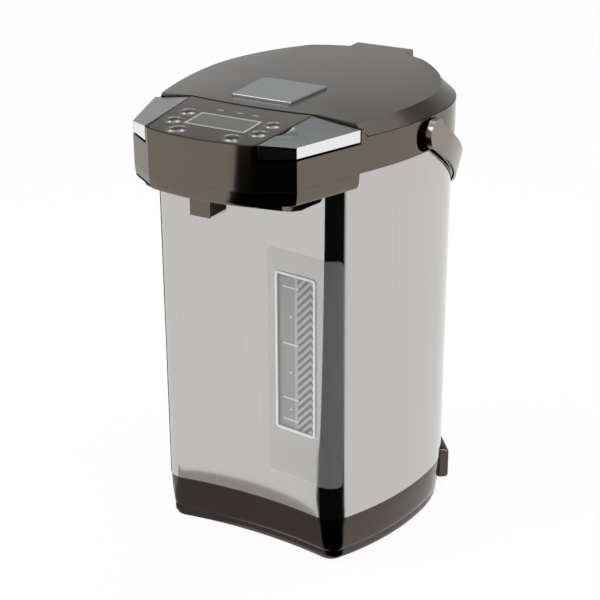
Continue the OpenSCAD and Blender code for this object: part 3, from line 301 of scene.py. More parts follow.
def finish_piece(obj, finish, body, slot, *replaced):
    """Gives a piece its finish and the body it rides, and hides the nodes it replaces; slot is not used."""
    obj.data.materials.clear()
    obj.data.materials.append(finish)
    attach(obj, body)
    if replaced:
        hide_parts(*replaced)
    return obj


# ---------------------------------------------------------------- finishes

def srgb(r, g, b):
    """Linear colour from its display values."""
    def lin(c):
        c /= 255
        return c / 12.92 if c <= 0.04045 else ((c + 0.055) / 1.055) ** 2.4
    return (lin(r), lin(g), lin(b), 1.0)


def new_finish(name):
    mat = bpy.data.materials.new(name)
    mat.use_nodes = True
    tree = mat.node_tree
    shader = tree.nodes["Principled BSDF"]
    return mat, tree, shader


def grain(tree, scale, detail=3.0, stretch=(1, 1, 1)):
    """Noise in the object's own coordinates."""
    coords = tree.nodes.new("ShaderNodeTexCoord")
    mapping = tree.nodes.new("ShaderNodeMapping")
    mapping.inputs["Scale"].default_value = stretch
    noise = tree.nodes.new("ShaderNodeTexNoise")
    noise.inputs["Scale"].default_value = scale
    noise.inputs["Detail"].default_value = detail
    tree.links.new(coords.outputs["Object"], mapping.inputs["Vector"])
    tree.links.new(mapping.outputs["Vector"], noise.inputs["Vector"])
    return noise


def spread(tree, source, low, high, socket):
    """Maps a noise to a range of values on a socket."""
    m = tree.nodes.new("ShaderNodeMapRange")
    m.inputs["From Min"].default_value = 0.3
    m.inputs["From Max"].default_value = 0.7
    m.inputs["To Min"].default_value = low
    m.inputs["To Max"].default_value = high
    tree.links.new(source.outputs["Fac"], m.inputs["Value"])
    tree.links.new(m.outputs["Result"], socket)


def two_tone(tree, source, dark, light, socket):
    ramp = tree.nodes.new("ShaderNodeValToRGB")
    ramp.color_ramp.elements[0].position = 0.35
    ramp.color_ramp.elements[0].color = dark
    ramp.color_ramp.elements[1].position = 0.65
    ramp.color_ramp.elements[1].color = light
    tree.links.new(source.outputs["Fac"], ramp.inputs["Fac"])
    tree.links.new(ramp.outputs["Color"], socket)


def bump(tree, source, shader, strength, distance):
    b = tree.nodes.new("ShaderNodeBump")
    b.inputs["Strength"].default_value = strength
    b.inputs["Distance"].default_value = distance
    tree.links.new(source.outputs["Fac"], b.inputs["Height"])
    tree.links.new(b.outputs["Normal"], shader.inputs["Normal"])


def tint(colour, factor):
    return tuple(min(1.0, c * factor) for c in colour[:3]) + (1.0,)


def moulded(name, colour, rough=0.3, vary=0.05, coat=0.0, texture=0.06, flake=0.04, specular=0.5):
    """Moulded or painted plastic: slight colour and gloss variation and a very fine orange peel."""
    mat, tree, shader = new_finish(name)
    speck = grain(tree, 900.0, 2.0)
    two_tone(tree, speck, tint(colour, 1 - flake), tint(colour, 1 + flake), shader.inputs["Base Color"])
    peel = grain(tree, 260.0, 3.0)
    spread(tree, peel, rough - vary, rough + vary, shader.inputs["Roughness"])
    bump(tree, peel, shader, texture, 0.0004)
    shader.inputs["Specular IOR Level"].default_value = specular
    shader.inputs["Coat Weight"].default_value = coat
    shader.inputs["Coat Roughness"].default_value = 0.08
    return mat


def metal(name, colour, rough=0.25, vary=0.05, stretch=(1, 1, 1), scale=300.0, texture=0.05, contrast=0.05):
    """Metal with drawn or brushed lines along the axis whose value in stretch is smallest."""
    mat, tree, shader = new_finish(name)
    lines = grain(tree, scale, 4.0, stretch)
    dark, light = tint(colour, 1 - contrast), tint(colour, 1 + contrast)
    two_tone(tree, lines, dark, light, shader.inputs["Base Color"])
    spread(tree, lines, rough - vary, rough + vary, shader.inputs["Roughness"])
    bump(tree, lines, shader, texture, 0.0003)
    shader.inputs["Metallic"].default_value = 1.0
    return mat


def painted(name, colour, rough):
    """Metallic paint with a fine flake, smooth enough to mirror its surroundings softly."""
    return metal(name, colour, rough, 0.015, (1, 1, 1), 900.0, 0.015, 0.03)


steel = metal("brushed_jacket_steel", (0.515, 0.505, 0.49, 1), 0.085, 0.01, (14, 14, 0.15), 60.0,
              texture=0.008, contrast=0.012)
inner_steel = metal("drawn_inner_steel", (0.6, 0.6, 0.59, 1), 0.3, 0.06, (1, 1, 8), 40.0, 0.05)
bright_steel = metal("bright_pin_steel", (0.66, 0.66, 0.65, 1), 0.16, 0.04)
silver = painted("silver_key_paint", (0.31, 0.325, 0.33, 1), 0.24)
key_chrome = painted("bright_key_edge", (0.8, 0.8, 0.8, 1), 0.06)
plate_silver = painted("silver_plate_paint", (0.34, 0.355, 0.36, 1), 0.26)
head_brown = painted("head_brown_paint", (0.138, 0.121, 0.099, 1), 0.1)
lid_brown = painted("lid_brown_paint", (0.128, 0.116, 0.103, 1), 0.2)
base_brown = painted("base_brown_plastic", (0.085, 0.07, 0.065, 1), 0.12)
strap_brown = painted("strap_brown_paint", (0.23, 0.205, 0.18, 1), 0.22)
film_brown = painted("panel_film", (0.24, 0.222, 0.2, 1), 0.18)
black_plastic = moulded("black_plastic", srgb(24, 22, 21), 0.4, 0.05)
grey_plastic = moulded("grey_plastic", srgb(138, 134, 128), 0.42, 0.05)
white_plastic = moulded("white_plastic", srgb(214, 213, 208), 0.4, 0.05)
button_finish = painted("button_gloss", (0.17, 0.158, 0.14, 1), 0.14)
rim_finish = metal("button_rim_silver", (0.34, 0.33, 0.31, 1), 0.22, 0.03)
rubber = moulded("foot_rubber", srgb(30, 29, 28), 0.75, 0.08, 0.0, 0.2)
silicone = moulded("seal_silicone", srgb(206, 200, 190), 0.55, 0.06)
circuit = moulded("circuit_board", srgb(28, 92, 48), 0.45, 0.08, 0.1)
felt = moulded("insulation_felt", srgb(196, 188, 168), 0.95, 0.04, 0.0, 0.6, 0.15)
print_white = moulded("print_white", srgb(226, 227, 226), 0.45, 0.04)
print_grey = moulded("print_grey", srgb(150, 150, 148), 0.45, 0.04)
print_ground = moulded("print_ground", srgb(112, 110, 105), 0.45, 0.04)
print_hatch = moulded("print_hatch", srgb(176, 180, 184), 0.45, 0.04)
brass = metal("pin_brass", (0.62, 0.45, 0.2, 1), 0.28, 0.05)
magnet_finish = moulded("magnet_ferrite", srgb(52, 52, 54), 0.6, 0.08)


def clear(name, colour, rough, alpha):
    """Thin clear plastic: mostly see-through, with the gloss of its surface."""
    mat, tree, shader = new_finish(name)
    haze = grain(tree, 60.0, 2.0)
    two_tone(tree, haze, tint(colour, 0.97), tint(colour, 1.03), shader.inputs["Base Color"])
    spread(tree, haze, rough - 0.02, rough + 0.02, shader.inputs["Roughness"])
    shader.inputs["Alpha"].default_value = alpha
    return mat


cover_clear = clear("clear_window_cover", (0.6, 0.6, 0.6, 1), 0.06, 0.08)
tube_clear = clear("clear_sight_tube", (0.8, 0.8, 0.8, 1), 0.1, 0.3)
display_glass = painted("display_glass", (0.38, 0.385, 0.37, 1), 0.2)

node_finish = dict(
    bottom_cover=base_brown, rubber_feet=rubber, bottom_screws=bright_steel,
    beak_screws=black_plastic, spout_shroud=black_plastic, spout_rim=white_plastic, spout_nozzle=grey_plastic,
    control_film=film_brown, display_window=display_glass, display_module=grey_plastic, control_board=circuit,
    left_key_spring=bright_steel, right_key_spring=bright_steel,
    lid_inner=grey_plastic, lid_disc=inner_steel, lid_gasket=silicone, steam_valve=grey_plastic,
    plate_pin=bright_steel, plate_spring=bright_steel, latch_bolt=grey_plastic,
    latch_keeper=inner_steel, lid_hinge_pin=bright_steel, handle_pins=black_plastic,
    scale_panel=print_grey, level_reflector=print_hatch, sight_tube=tube_clear, tube_seals=rubber,
    container=inner_steel, mouth_seal=silicone, insulation=felt, pot_bracket=inner_steel,
    heater=grey_plastic, thermostat=grey_plastic, pump_housing=white_plastic, pump_impeller=white_plastic,
    drive_magnet=magnet_finish, pump_motor=grey_plastic, suction_hose=silicone, delivery_hose=silicone,
    spout_hose=silicone, power_board=circuit, power_inlet=black_plastic, inlet_pins=brass)
for n, finish in node_finish.items():
    obj = nodes[n]
    if not obj.material_slots:
        obj.data.materials.append(finish)
    for s in obj.material_slots:
        s.material = finish


# ---------------------------------------------------------------- steel jacket and base

def rounded_box(name, x, z, y, r):
    """Upright slab with rounded corners in the view from the front, y deep."""
    pts = []
    corners = ((x[1] - r, z[1] - r, 0), (x[0] + r, z[1] - r, 90),
               (x[0] + r, z[0] + r, 180), (x[1] - r, z[0] + r, 270))
    for cx, cz, a in corners:
        for i in range(7):
            d = ray(a + 90 * i / 6)
            pts.append((cx + r * d[0], cz + r * d[1]))
    return rings(name, [[(p[0], yy, p[1]) for p in pts] for yy in y])


jacket = rings("steel_jacket", [body_outline(), body_outline(), body_outline(-0.8), body_outline(-0.8)],
               [BASE_H, 311.4, 311.4, BASE_H], closed=True)
carve(jacket, rounded_box("window_cut", (24, 58.5), (105, 231), (-130, -60), 3.0))
soften(jacket, 40)
finish_piece(jacket, steel, "root", "steel", "jacket")


INLET_TURN = 38.0


def inlet_matrix():
    """Place of the power inlet at the right rear of the base."""
    c = place((SHOULDER_C[0], SHOULDER_C[1], 0))
    turn = Matrix.Rotation(math.radians(INLET_TURN - 90), 4, "Z")
    return Matrix.Translation(c) @ turn @ Matrix.Translation((0, SHOULDER_R * MM, 0))


def inlet_box(name, x, y, z):
    """Box in the inlet's own frame, where y points out of the base."""
    b = block(name, x, y, z)
    b.data.transform(Matrix.Translation((0, -SHIFT * MM, 0)))
    b.data.transform(inlet_matrix())
    return b


def body_band(name, rows):
    """Band round the body through rows of height and offset."""
    return rings(name, [body_outline(g) for z, g in rows], [z for z, g in rows], closed=True)


outer_rows = [(9.0, -2.8), (9.8, -2.35), (12.0, -1.95), (16, -1.6), (21, -1.3), (28, -0.85),
              (36.6, -0.42), (37.6, -0.5), (37.9, -0.9)]
inner_rows = [(37.9, -3.4), (20, -4.4), (9.0, -5.4)]
base = body_band("base_skirt", outer_rows + inner_rows)
housing = eased(inlet_box("inlet_housing", (-21, 21), (-4.4, 5.0), (9, 35)), 2.6, 4)
carve(base, housing, how="UNION")
carve(base, inlet_box("inlet_cut", (-17, 17), (-11, 8), (14, 29)))
soften(base, 32)
finish_piece(base, base_brown, "root", "base_brown", "base_ring")
tray_rows = [(9.0, -3.1), (8.6, -2.9), (3.5, -3.2), (1.6, -4.0), (0.8, -5.2), (0.8, -8.0), (9.0, -8.0)]
tray_band = body_band("tray_band", tray_rows)
finish_piece(tray_band, base_brown, "root", "base_brown")

# ---------------------------------------------------------------- head

KEY_FRONT_X = BEAK_HALF + 4.0
KEY_BACK_X = 50.8
KEY_LINE = math.atan((KEY_BACK_X - KEY_FRONT_X) / (BEAK_D - LID_FRONT_D - 8))
KEY_FLOOR = RIM_Z - 4.2
KEY_PITCH = 4.9
KEY_FALL = 11.0
KEY_GAP = 3.5
FILM_T = 1.2
LCD_Y = -34.0


def front_arc(r, count=60):
    """Points of the lid's front edge from left to right, at radius r."""
    angles = [-18 + 36 * i / count for i in range(count + 1)]
    return [Vector(LID_FRONT_C) + r * ray(-90 + a) for a in angles]


def behind_front(g, z0, z1, name="front_tool"):
    """Solid behind the lid's front edge, grown forwards by g."""
    pts = front_arc(LID_FRONT_R + g) + [Vector((200, 200)), Vector((-200, 200))]
    return rings(name, [pts, pts], [z0, z1])


def before_front(g, z0, z1, name="front_tool"):
    """Solid in front of the lid's front edge, kept g away from it."""
    pts = front_arc(LID_FRONT_R + g) + [Vector((200, -300)), Vector((-200, -300))]
    return rings(name, [pts, pts], [z0, z1])


def roof_tool(drop, name="roof_tool"):
    """Everything above the beak's roof: level in the middle, falling beside the keys' inner edges."""
    out = []
    for y in (-220.0, -40.0):
        zc = PANEL_Z - drop + math.tan(PANEL_FALL) * (y - PANEL_Y)
        zk = PANEL_Z - drop + math.tan(math.radians(KEY_PITCH)) * (y - PANEL_Y + 2)
        side = zk - math.tan(math.radians(KEY_FALL)) * (130 - KEY_BACK_X)
        out.append([(-130, y, side), (-KEY_BACK_X + 0.8, y, zc), (KEY_BACK_X - 0.8, y, zc), (130, y, side),
                    (130, y, 420), (-130, y, 420)])
    return rings(name, out)


def key_side(sign, g, z0, z1, name="key_tool"):
    """Half space outside a key's inner edge, grown inwards by g."""
    d = Vector((math.sin(KEY_LINE), math.cos(KEY_LINE)))
    a = Vector((KEY_FRONT_X - g, -BEAK_D + 8))
    pts = [a - d * 80, a + d * 140, Vector((220, 80)), Vector((220, -240))]
    pts = [Vector((sign * p[0], p[1])) for p in pts]
    return rings(name, [pts, pts], [z0, z1])


def key_pocket(sign, g, out, z0, z1):
    """Room for a key with g of play, open to the side."""
    tool = rings("key_pocket", [head_outline(out), head_outline(out)], [z0, z1])
    front = before_front(KEY_GAP - g, z0 - 5, z1 + 5)
    return carve(tool, front, key_side(sign, g, z0 - 5, z1 + 5), how="INTERSECT")


def on_panel(obj):
    """Takes a solid from the panel's own frame to its place."""
    c = place((0, 0, 0))
    m = (Matrix.Translation(place((0, PANEL_Y, PANEL_Z))) @ Matrix.Rotation(PANEL_FALL, 4, "X")
         @ Matrix.Translation(-c))
    obj.data.transform(m)
    return obj


def bow(a, b, r, angles):
    """Points of an arc about (a, b) in an upright plane."""
    return [(a + r * ray(t)[0], b + r * ray(t)[1]) for t in angles]


def side_disc(x0, x1, y, z, r, name="pocket_tool"):
    """Cylinder along X."""
    ring = bow(y, z, r, [360 * i / 48 for i in range(48)])
    return rings(name, [[(x, p[0], p[1]) for p in ring] for x in (x0, x1)])


def slot_tool(sign, x0, x1, y0, y1, z, r, name="pocket_tool"):
    """Racetrack-shaped pocket tool along X."""
    pts = bow(y1, z, r, [-90 + 180 * i / 24 for i in range(25)])
    pts += bow(y0, z, r, [90 + 180 * i / 24 for i in range(25)])
    return rings(name, [[(sign * x, p[0], p[1]) for p in pts] for x in (x0, x1)])


def skirt_body(g, z0, name):
    """The lid's side wall carried down to z0, filled."""
    sections = [lid_skirt_outline(g), lid_edge_outline(g), lid_edge_outline(g)]
    return rings(name, sections, [z0, RIM_Z + LID_EDGE_H, TOP_Z + 5])


SWEEP_LOW = RIM_Z - 0.2
SWEEP_RISE = 7.0
SWEEP_RUN = 6.0
SWEEP_FRONT = -91.5


def sweep_tool(sign, g, x0):
    """Solid under the S-shaped end of the parting line between lid and head, grown by g."""
    line = [(-125.0, 325.0), (-125.0, SWEEP_LOW + SWEEP_RISE + g)]
    for i in range(25):
        rise = SWEEP_RISE / 2 * (1 + math.cos(math.pi * i / 24))
        line.append((SWEEP_FRONT + SWEEP_RUN * i / 24 + g, SWEEP_LOW + rise + g))
    line += [(-78.0, SWEEP_LOW + g), (-78.0, 325.0)]
    return rings("sweep_tool", [[(sign * x, p[0], p[1]) for p in line] for x in (x0, 120)])


def sweep(sign):
    """Upswept end of the head's side wall beside the lid's front edge."""
    ramp = skirt_body(0, RIM_Z - 0.6, "sweep")
    carve(ramp, sweep_tool(sign, 0, 77.9), how="INTERSECT")
    inside = rings("sweep_room", [lid_skirt_outline(-5.0), lid_skirt_outline(-5.0)], [330, 350])
    carve(inside, block("sweep_room_rear", (-200, 200), (-89.5, 0), (320, 360)), how="INTERSECT")
    return carve(ramp, inside, roof_tool(0))


head = rings("head_shell", [head_outline(), head_outline()], [HEAD_Z, TOP_Z])
carve(head, behind_front(0.4, RIM_Z, TOP_Z + 10), roof_tool(0))
well = rings("well_tool", [head_outline(-2.5), head_outline(-2.5)], [DECK_Z, TOP_Z + 10])
carve(well, behind_front(-0.5, DECK_Z - 5, TOP_Z + 20), how="INTERSECT")
carve(head, well)
hollow = rings("hollow_tool", [head_outline(-2.5), head_outline(-2.5)], [HEAD_Z - 1, DECK_Z - 3])
carve(head, hollow, disc((0, 0), 80.5, HEAD_Z - 2, HEAD_Z + 60))
carve(head, sweep(1), sweep(-1), how="UNION")
carve(head, key_pocket(1, 0.7, 1.0, KEY_FLOOR, 380), key_pocket(-1, 0.7, 1.0, KEY_FLOOR, 380))
film_cut = rings("film_tool", [head_outline(-2.0), head_outline(-2.0)], [300, 380])
carve(film_cut, before_front(1.0, 290, 390), how="INTERSECT")
carve(film_cut, key_side(1, 2.3, 290, 390), key_side(-1, 2.3, 290, 390))
floor_tool = on_panel(block("film_floor", (-200, 200), (-200, 200), (-FILM_T, 60)))
carve(film_cut, floor_tool, how="INTERSECT")
carve(head, film_cut)
PIVOT = (-20.0, 323.4)
for sgn in (1, -1):
    carve(head, slot_tool(sgn, 98.2, 118, PIVOT[0] - 7.2, PIVOT[0], PIVOT[1], 11.8))
carve(head, block("hinge_notch", (-25.1, 25.1), (BACK_D - 4, 160), (323.5, 380)))
eased(head, 0.45, 2, 28)
finish_piece(head, head_brown, "root", "head_brown", "head_housing")

# Ears that carry the lid's hinge pin
HINGE = (103.03, 334.0)
EAR_X = (25.1, 30.1)
SIDES = ((1, "right"), (-1, "left"))
for sgn, side in SIDES:
    ear = side_disc(sgn * EAR_X[0], sgn * EAR_X[1], HINGE[0], HINGE[1], 7.5, "hinge_ear_" + side)
    foot = block("ear_foot", sorted((sgn * EAR_X[0], sgn * EAR_X[1])), (90, 103), (326.5, 336))
    carve(ear, foot, how="UNION")
    eased(ear, 0.4, 2)
    finish_piece(ear, head_brown, "root", "head_brown")

# Under-cover of the beak
rows = [(-4.0, 299.0), (-2.2, 299.9), (-1.0, 301.6), (-0.6, 303.5), (-0.2, 307), (0.0, 310.9)]
under = rings("beak_under_cover", [head_outline(g) for g, z in rows], [z for g, z in rows])
keel_line = [(-165, 300), (-161, 299), (-150, 296), (-138, 291.8), (-124, 288.4), (-108, 287.2), (-60, 287.2),
             (-60, 303), (-165, 303)]
keel = rings("keel", [[(x, p[0], p[1]) for p in keel_line] for x in (-56, 56)])
carve(keel, rings("keel_side", [head_outline(-4.6), head_outline(-4.6)], [280, 310]), how="INTERSECT")
carve(under, keel, how="UNION")
carve(under, rings("jacket_room", [body_outline(0.3), body_outline(0.3)], [270, 330]),
      block("rear_cut", (-200, 200), (-94, 200), (270, 330)),
      block("spout_room", (-8.4, 8.4), (-164.3, -143.7), (270, 330)))
eased(under, 0.8, 3, 24)
finish_piece(under, head_brown, "root", "head_brown", "beak_cover")

for sgn, side in SIDES:
    screw = disc((sgn * 36.0, -136.0), 3.2, 290.8, 293.5, "beak_screw_" + side, 24)
    finish_piece(screw, black_plastic, "root", "black", *(("beak_screws",) if sgn > 0 else ()))
block("spout_face", (-8.3, 8.3), (-165.0, -164.2), (287, 303), finish=head_brown, body="root")

# ---------------------------------------------------------------- silver keys


DIMPLE_R = 40.0
DIMPLE_AT = (54.7, -135.6, 383.96)


def key(sign, name):
    """Key in its pocket, with a top that falls to the side and to the front."""
    k = rings(name, [head_outline(-0.2), head_outline(-0.2)], [KEY_FLOOR + 1.7, 380])
    carve(k, before_front(KEY_GAP, 320, 390), key_side(sign, 0, 320, 390), how="INTERSECT")
    fall = math.tan(math.radians(KEY_FALL))
    out = []
    for y in (-220.0, -40.0):
        inner = PANEL_Z + math.tan(math.radians(KEY_PITCH)) * (y - PANEL_Y + 2)
        near, far = [inner - fall * (x - KEY_BACK_X) for x in (20, 130)]
        out.append([(sign * x, y, z) for x, z in ((20, near), (130, far), (130, 460), (20, 460))])
    carve(k, rings("key_roof", out))
    if sign > 0:
        # Shallow finger dimple
        mesh = bpy.data.meshes.new("dimple")
        bm = bmesh.new()
        bmesh.ops.create_uvsphere(bm, u_segments=160, v_segments=80, radius=DIMPLE_R * MM)
        bm.to_mesh(mesh)
        bm.free()
        ball = bpy.data.objects.new("dimple", mesh)
        scene.collection.objects.link(ball)
        ball.data.transform(Matrix.Translation(place(DIMPLE_AT)))
        carve(k, ball)
    eased(k, 0.7, 3, 25)
    finish_piece(k, silver, name, "silver", name)
    k.data.materials.append(key_chrome)
    for f in k.data.polygons:
        f.material_index = 1 if f.normal.z < 0.6 else 0
    return k


key(1, "right_key").name = "right_key_cap"
key(-1, "left_key").name = "left_key_cap"

# ---------------------------------------------------------------- control panel


def drop_outline(x, y, rx, ry, grow, turn, drop, count=48):
    """Oval in the panel's frame, drawn out to a tip where drop isn't 0, then turned."""
    t = math.radians(turn)
    pts = []
    for i in range(count):
        a = 360 * i / count
        d = ray(a)
        k = 1.0 + drop * max(0.0, math.cos(math.radians(a))) ** 3
        p = Vector((d[0] * (rx + grow) * k, d[1] * (ry + grow)))
        pts.append((x + p[0] * math.cos(t) - p[1] * math.sin(t),
                    y + p[0] * math.sin(t) + p[1] * math.cos(t)))
    return pts


def drop_piece(name, shape, rows, closed=False):
    """Piece of the panel through rows of height and growth of one oval or drop."""
    x, y, rx, ry, turn, drop = shape
    sections = [drop_outline(x, y, rx, ry, g, turn, drop) for z, g in rows]
    return on_panel(rings(name, sections, [z for z, g in rows], closed=closed, smooth=60))


def button_cap(name, shape, z0, z1):
    """Push button with a softly domed top."""
    rows = [(z0, 0.0), (z1 - 0.7, 0.0), (z1 - 0.25, -0.35), (z1, -1.1), (z1 + 0.1, -2.6)]
    return drop_piece(name, shape, rows)


def button_ring(name, shape, gap, z0, z1, w):
    """Ring that stands a gap outside a button and is w wide."""
    x, y, rx, ry, turn, drop = shape
    rows = [(z0, 0.0), (z0, w), (z1 - 0.15, w), (z1, w - 0.2), (z1, 0.2), (z1 - 0.15, 0.0)]
    return drop_piece(name, (x, y, rx + gap, ry + gap, turn, drop), rows, closed=True)


ROUND_X = 34.3
ROUND_STEP = 9.0
ROUND_SIZE = (4.8, 5.0)
DROP_X = 21.5
DROP_Y = LCD_Y - 23
DROP_SIZE = (5.2, 5.2)
DROP_TIP = 0.3
buttons = [("round_button_%s_%s" % (side, row), sgn * ROUND_X, LCD_Y + step, 0, 0.0)
           for side, sgn in (("left", -1), ("right", 1))
           for row, step in (("rear", ROUND_STEP), ("front", -ROUND_STEP))]
buttons += [("drop_button_left", -DROP_X, DROP_Y, 225, DROP_TIP),
            ("drop_button_right", DROP_X, DROP_Y, -45, DROP_TIP)]
for name, x, y, turn, drop in buttons:
    shape = (x, y) + (DROP_SIZE if drop else ROUND_SIZE) + (turn, drop)
    finish_piece(button_cap(name + "_cap", shape, -6.0, 0.75), button_finish, name, "button", name)
    finish_piece(button_ring(name + "_rim", shape, 0.3, -0.4, 0.3, 0.5), rim_finish, "root", "silver")
    finish_piece(button_ring(name + "_seat", shape, 0.75, -0.5, 0.08, 1.35), film_brown, "root", "film")


def oblong(half_x, half_y, x=0.0, y=0.0):
    """Rectangle about a point of the panel."""
    return [(x - half_x, y - half_y), (x + half_x, y - half_y),
            (x + half_x, y + half_y), (x - half_x, y + half_y)]


# Frame round the display and the three indicator bars behind it
frame_out = oblong(24.6, 11.9, y=LCD_Y)
frame_in = oblong(22.9, 10.2, y=LCD_Y)
lcd_frame = rings("display_frame", [frame_out, frame_out, frame_in, frame_in],
                  [-0.1, 0.12, 0.12, -0.1], closed=True)
finish_piece(on_panel(lcd_frame), print_grey, "root", "white")
for i, x in enumerate((-15, 1, 14)):
    bar = rings("indicator_bar_%d" % (i + 1), [oblong(2.6, 0.6, x, -13.4)] * 2, [-0.08, 0.03])
    finish_piece(on_panel(bar), print_grey, "root", "white")

# ---------------------------------------------------------------- lid

BAND_HALF = 50.0
CROWN_R = 8000.0
CROWN_Y = 20.0
FACET_FALL = 5.0


def crown(y, g=0.0):
    """Height of the lid's top along its middle."""
    return TOP_Z - CROWN_R + math.sqrt((CROWN_R + g) ** 2 - (y - CROWN_Y) ** 2)


def roof_solid(g, name="lid_roof"):
    """Crowned roof with a flat band and a falling facet on each side."""
    x1 = 113.0
    fall = FACET_FALL * (x1 - BAND_HALF) / (LID_HALF - BAND_HALF)
    secs = []
    for i in range(49):
        y = -120 + 240 * i / 48
        z = crown(y, g)
        secs.append([(-x1, y, 300), (-x1, y, z - fall), (-BAND_HALF, y, z),
                     (BAND_HALF, y, z), (x1, y, z - fall), (x1, y, 300)])
    return rings(name, secs)


def lid_solid(g, z0, name):
    """The filled lid, moved out by g, from z0 up."""
    body = skirt_body(g, z0, name)
    carve(body, roof_solid(g), behind_front(g, z0 - 5, TOP_Z + 20), how="INTERSECT")
    return body


def plate_plan(g):
    """Release plate in plan, grown by g."""
    return [(-24 - g, -84.5 - g), (24 + g, -84.5 - g), (27 + g, -35.5 + g), (-27 - g, -35.5 + g)]


lid = lid_solid(-0.3, RIM_Z + 0.3, "lid_shell")
carve(lid, lid_solid(-2.8, RIM_Z - 1, "lid_hollow"))
tray = rings("plate_tray", [plate_plan(2.5), plate_plan(2.5)], [341.4, 352])
carve(tray, lid_solid(-1.3, RIM_Z + 0.3, "tray_limit"), how="INTERSECT")
carve(lid, tray, how="UNION")
block_line = bow(HINGE[0], HINGE[1], 9.0, range(180, 361, 10))
block_line += [(HINGE[0] + 9.0, 344.5)] + bow(HINGE[0] + 6, 344.5, 3, range(15, 91, 15))
block_line += [(92.0, 347.5), (92.0, 337.0), (94.0, 335.5)]
hinge_block = rings("hinge_block", [[(x, p[0], p[1]) for p in block_line] for x in (-24.5, 24.5)])
carve(lid, hinge_block, how="UNION")
carve(lid, rings("plate_room", [plate_plan(0.5), plate_plan(0.5)], [343, 360]),
      block("finger_room", (-5.5, 5.5), (-73.5, -59.5), (338, 348)))
for sgn in (1, -1):
    carve(lid, side_disc(sgn * 24.5, sgn * 31.3, HINGE[0], HINGE[1], 8.0), sweep_tool(sgn, 0.5, 77.5))
eased(lid, 0.55, 3, 26, 30)
finish_piece(lid, lid_brown, "lid", "lid_brown", "lid_outer")

# ---------------------------------------------------------------- release plate


def corner_round(pts, r, which, count=6):
    """Outline with the corners listed in which rounded off."""
    out = []
    n = len(pts)
    for i, p in enumerate(pts):
        if i not in which:
            out.append(Vector(p))
            continue
        a, v, b = Vector(pts[i - 1]), Vector(p), Vector(pts[(i + 1) % n])
        s, e = v + (a - v).normalized() * r, v + (b - v).normalized() * r
        for k in range(count + 1):
            t = k / count
            out.append((1 - t) ** 2 * s + 2 * t * (1 - t) * v + t * t * e)
    return out


plan = corner_round(plate_plan(0), 5.0, (3,))
plan = corner_round(plan, 1.6, (0, 1, 2))
low = [(p[0], p[1], 347.3) for p in plan]
high = [(p[0], p[1], crown(p[1], 1.8)) for p in plan]
plate = rings("release_plate_cap", [low, high])
carve(plate, disc((0, -56), 5.2, 346, 348.5))
eased(plate, 0.5, 3, 30)
finish_piece(plate, plate_silver, "release_plate", "silver", "release_plate")

# ---------------------------------------------------------------- handle


HANDLE_X = 109.5
HANDLE_STRAIGHT = 18
HANDLE_DROP = 33


def strap_outline(a, b, count=48):
    """Line of the lifted handle in plan, a to each side and b back from its pivots."""
    quarter = [math.pi / 2 * i / count for i in range(count + 1)]
    half = [(a, 0.0)]
    half += [(a * math.cos(q), HANDLE_STRAIGHT + (b - HANDLE_STRAIGHT) * math.sin(q)) for q in quarter]
    return half + [(-p[0], p[1]) for p in reversed(half[:-1])]


def strap_band(name, outer, inner, z0, z1):
    """Band between two such lines, from z0 to z1 above the pivots."""
    n = len(outer)
    t = 2 * n
    both = list(outer) + list(inner)
    points = [(p[0], p[1] + PIVOT[0], z + PIVOT[1]) for z in (z0, z1) for p in both]
    faces = []
    for i in range(n - 1):
        o0, o1, i0, i1 = i, i + 1, n + i, n + i + 1
        faces += [[o0, o1, i1, i0], [t + o0, t + o1, t + i1, t + i0],
                  [o0, o1, t + o1, t + o0], [i0, i1, t + i1, t + i0]]
    faces += [[i, n + i, t + n + i, t + i] for i in (0, n - 1)]
    return piece(name, points, faces)


strap = strap_band("handle_strap", strap_outline(HANDLE_X, 152.0), strap_outline(105.5, 145.5), -9.5, 9.5)
channel = strap_band("channel_tool", strap_outline(107.9, 150.4), strap_outline(106.9, 147.1), -12.0, 7.3)
carve(channel, block("channel_front", (-200, 200), (-100, 12), (200, 400)))
carve(strap, channel)
turned(strap, about((0, PIVOT[0], PIVOT[1]), "X", -HANDLE_DROP))
for sgn in (1, -1):
    carve(strap, side_disc(sgn * 104.6, sgn * HANDLE_X, PIVOT[0], PIVOT[1], 11.2), how="UNION")
eased(strap, 0.8, 3, 30)
finish_piece(strap, strap_brown, "handle", "lid_brown", "handle")

# ---------------------------------------------------------------- level window


def right_front(g):
    """Right-hand half of the body's outline from the middle of the front, offset by g."""
    return (arc(FRONT_C, FRONT_R - g, 90, CORNER_A0, 60, 0)
            + arc(CORNER_C, CORNER_R + g, CORNER_A0 - 180, CORNER_A1, 24)
            + arc(SIDE_C, SIDE_R + g, CORNER_A1, 0, 40))


def surface_y(x, g):
    """Y of the body's skin at x, offset by g."""
    line = right_front(g)
    for a, b in zip(line, line[1:]):
        if a[0] <= x <= b[0]:
            return a[1] + (b[1] - a[1]) * (x - a[0]) / (b[0] - a[0])
    return line[0][1]


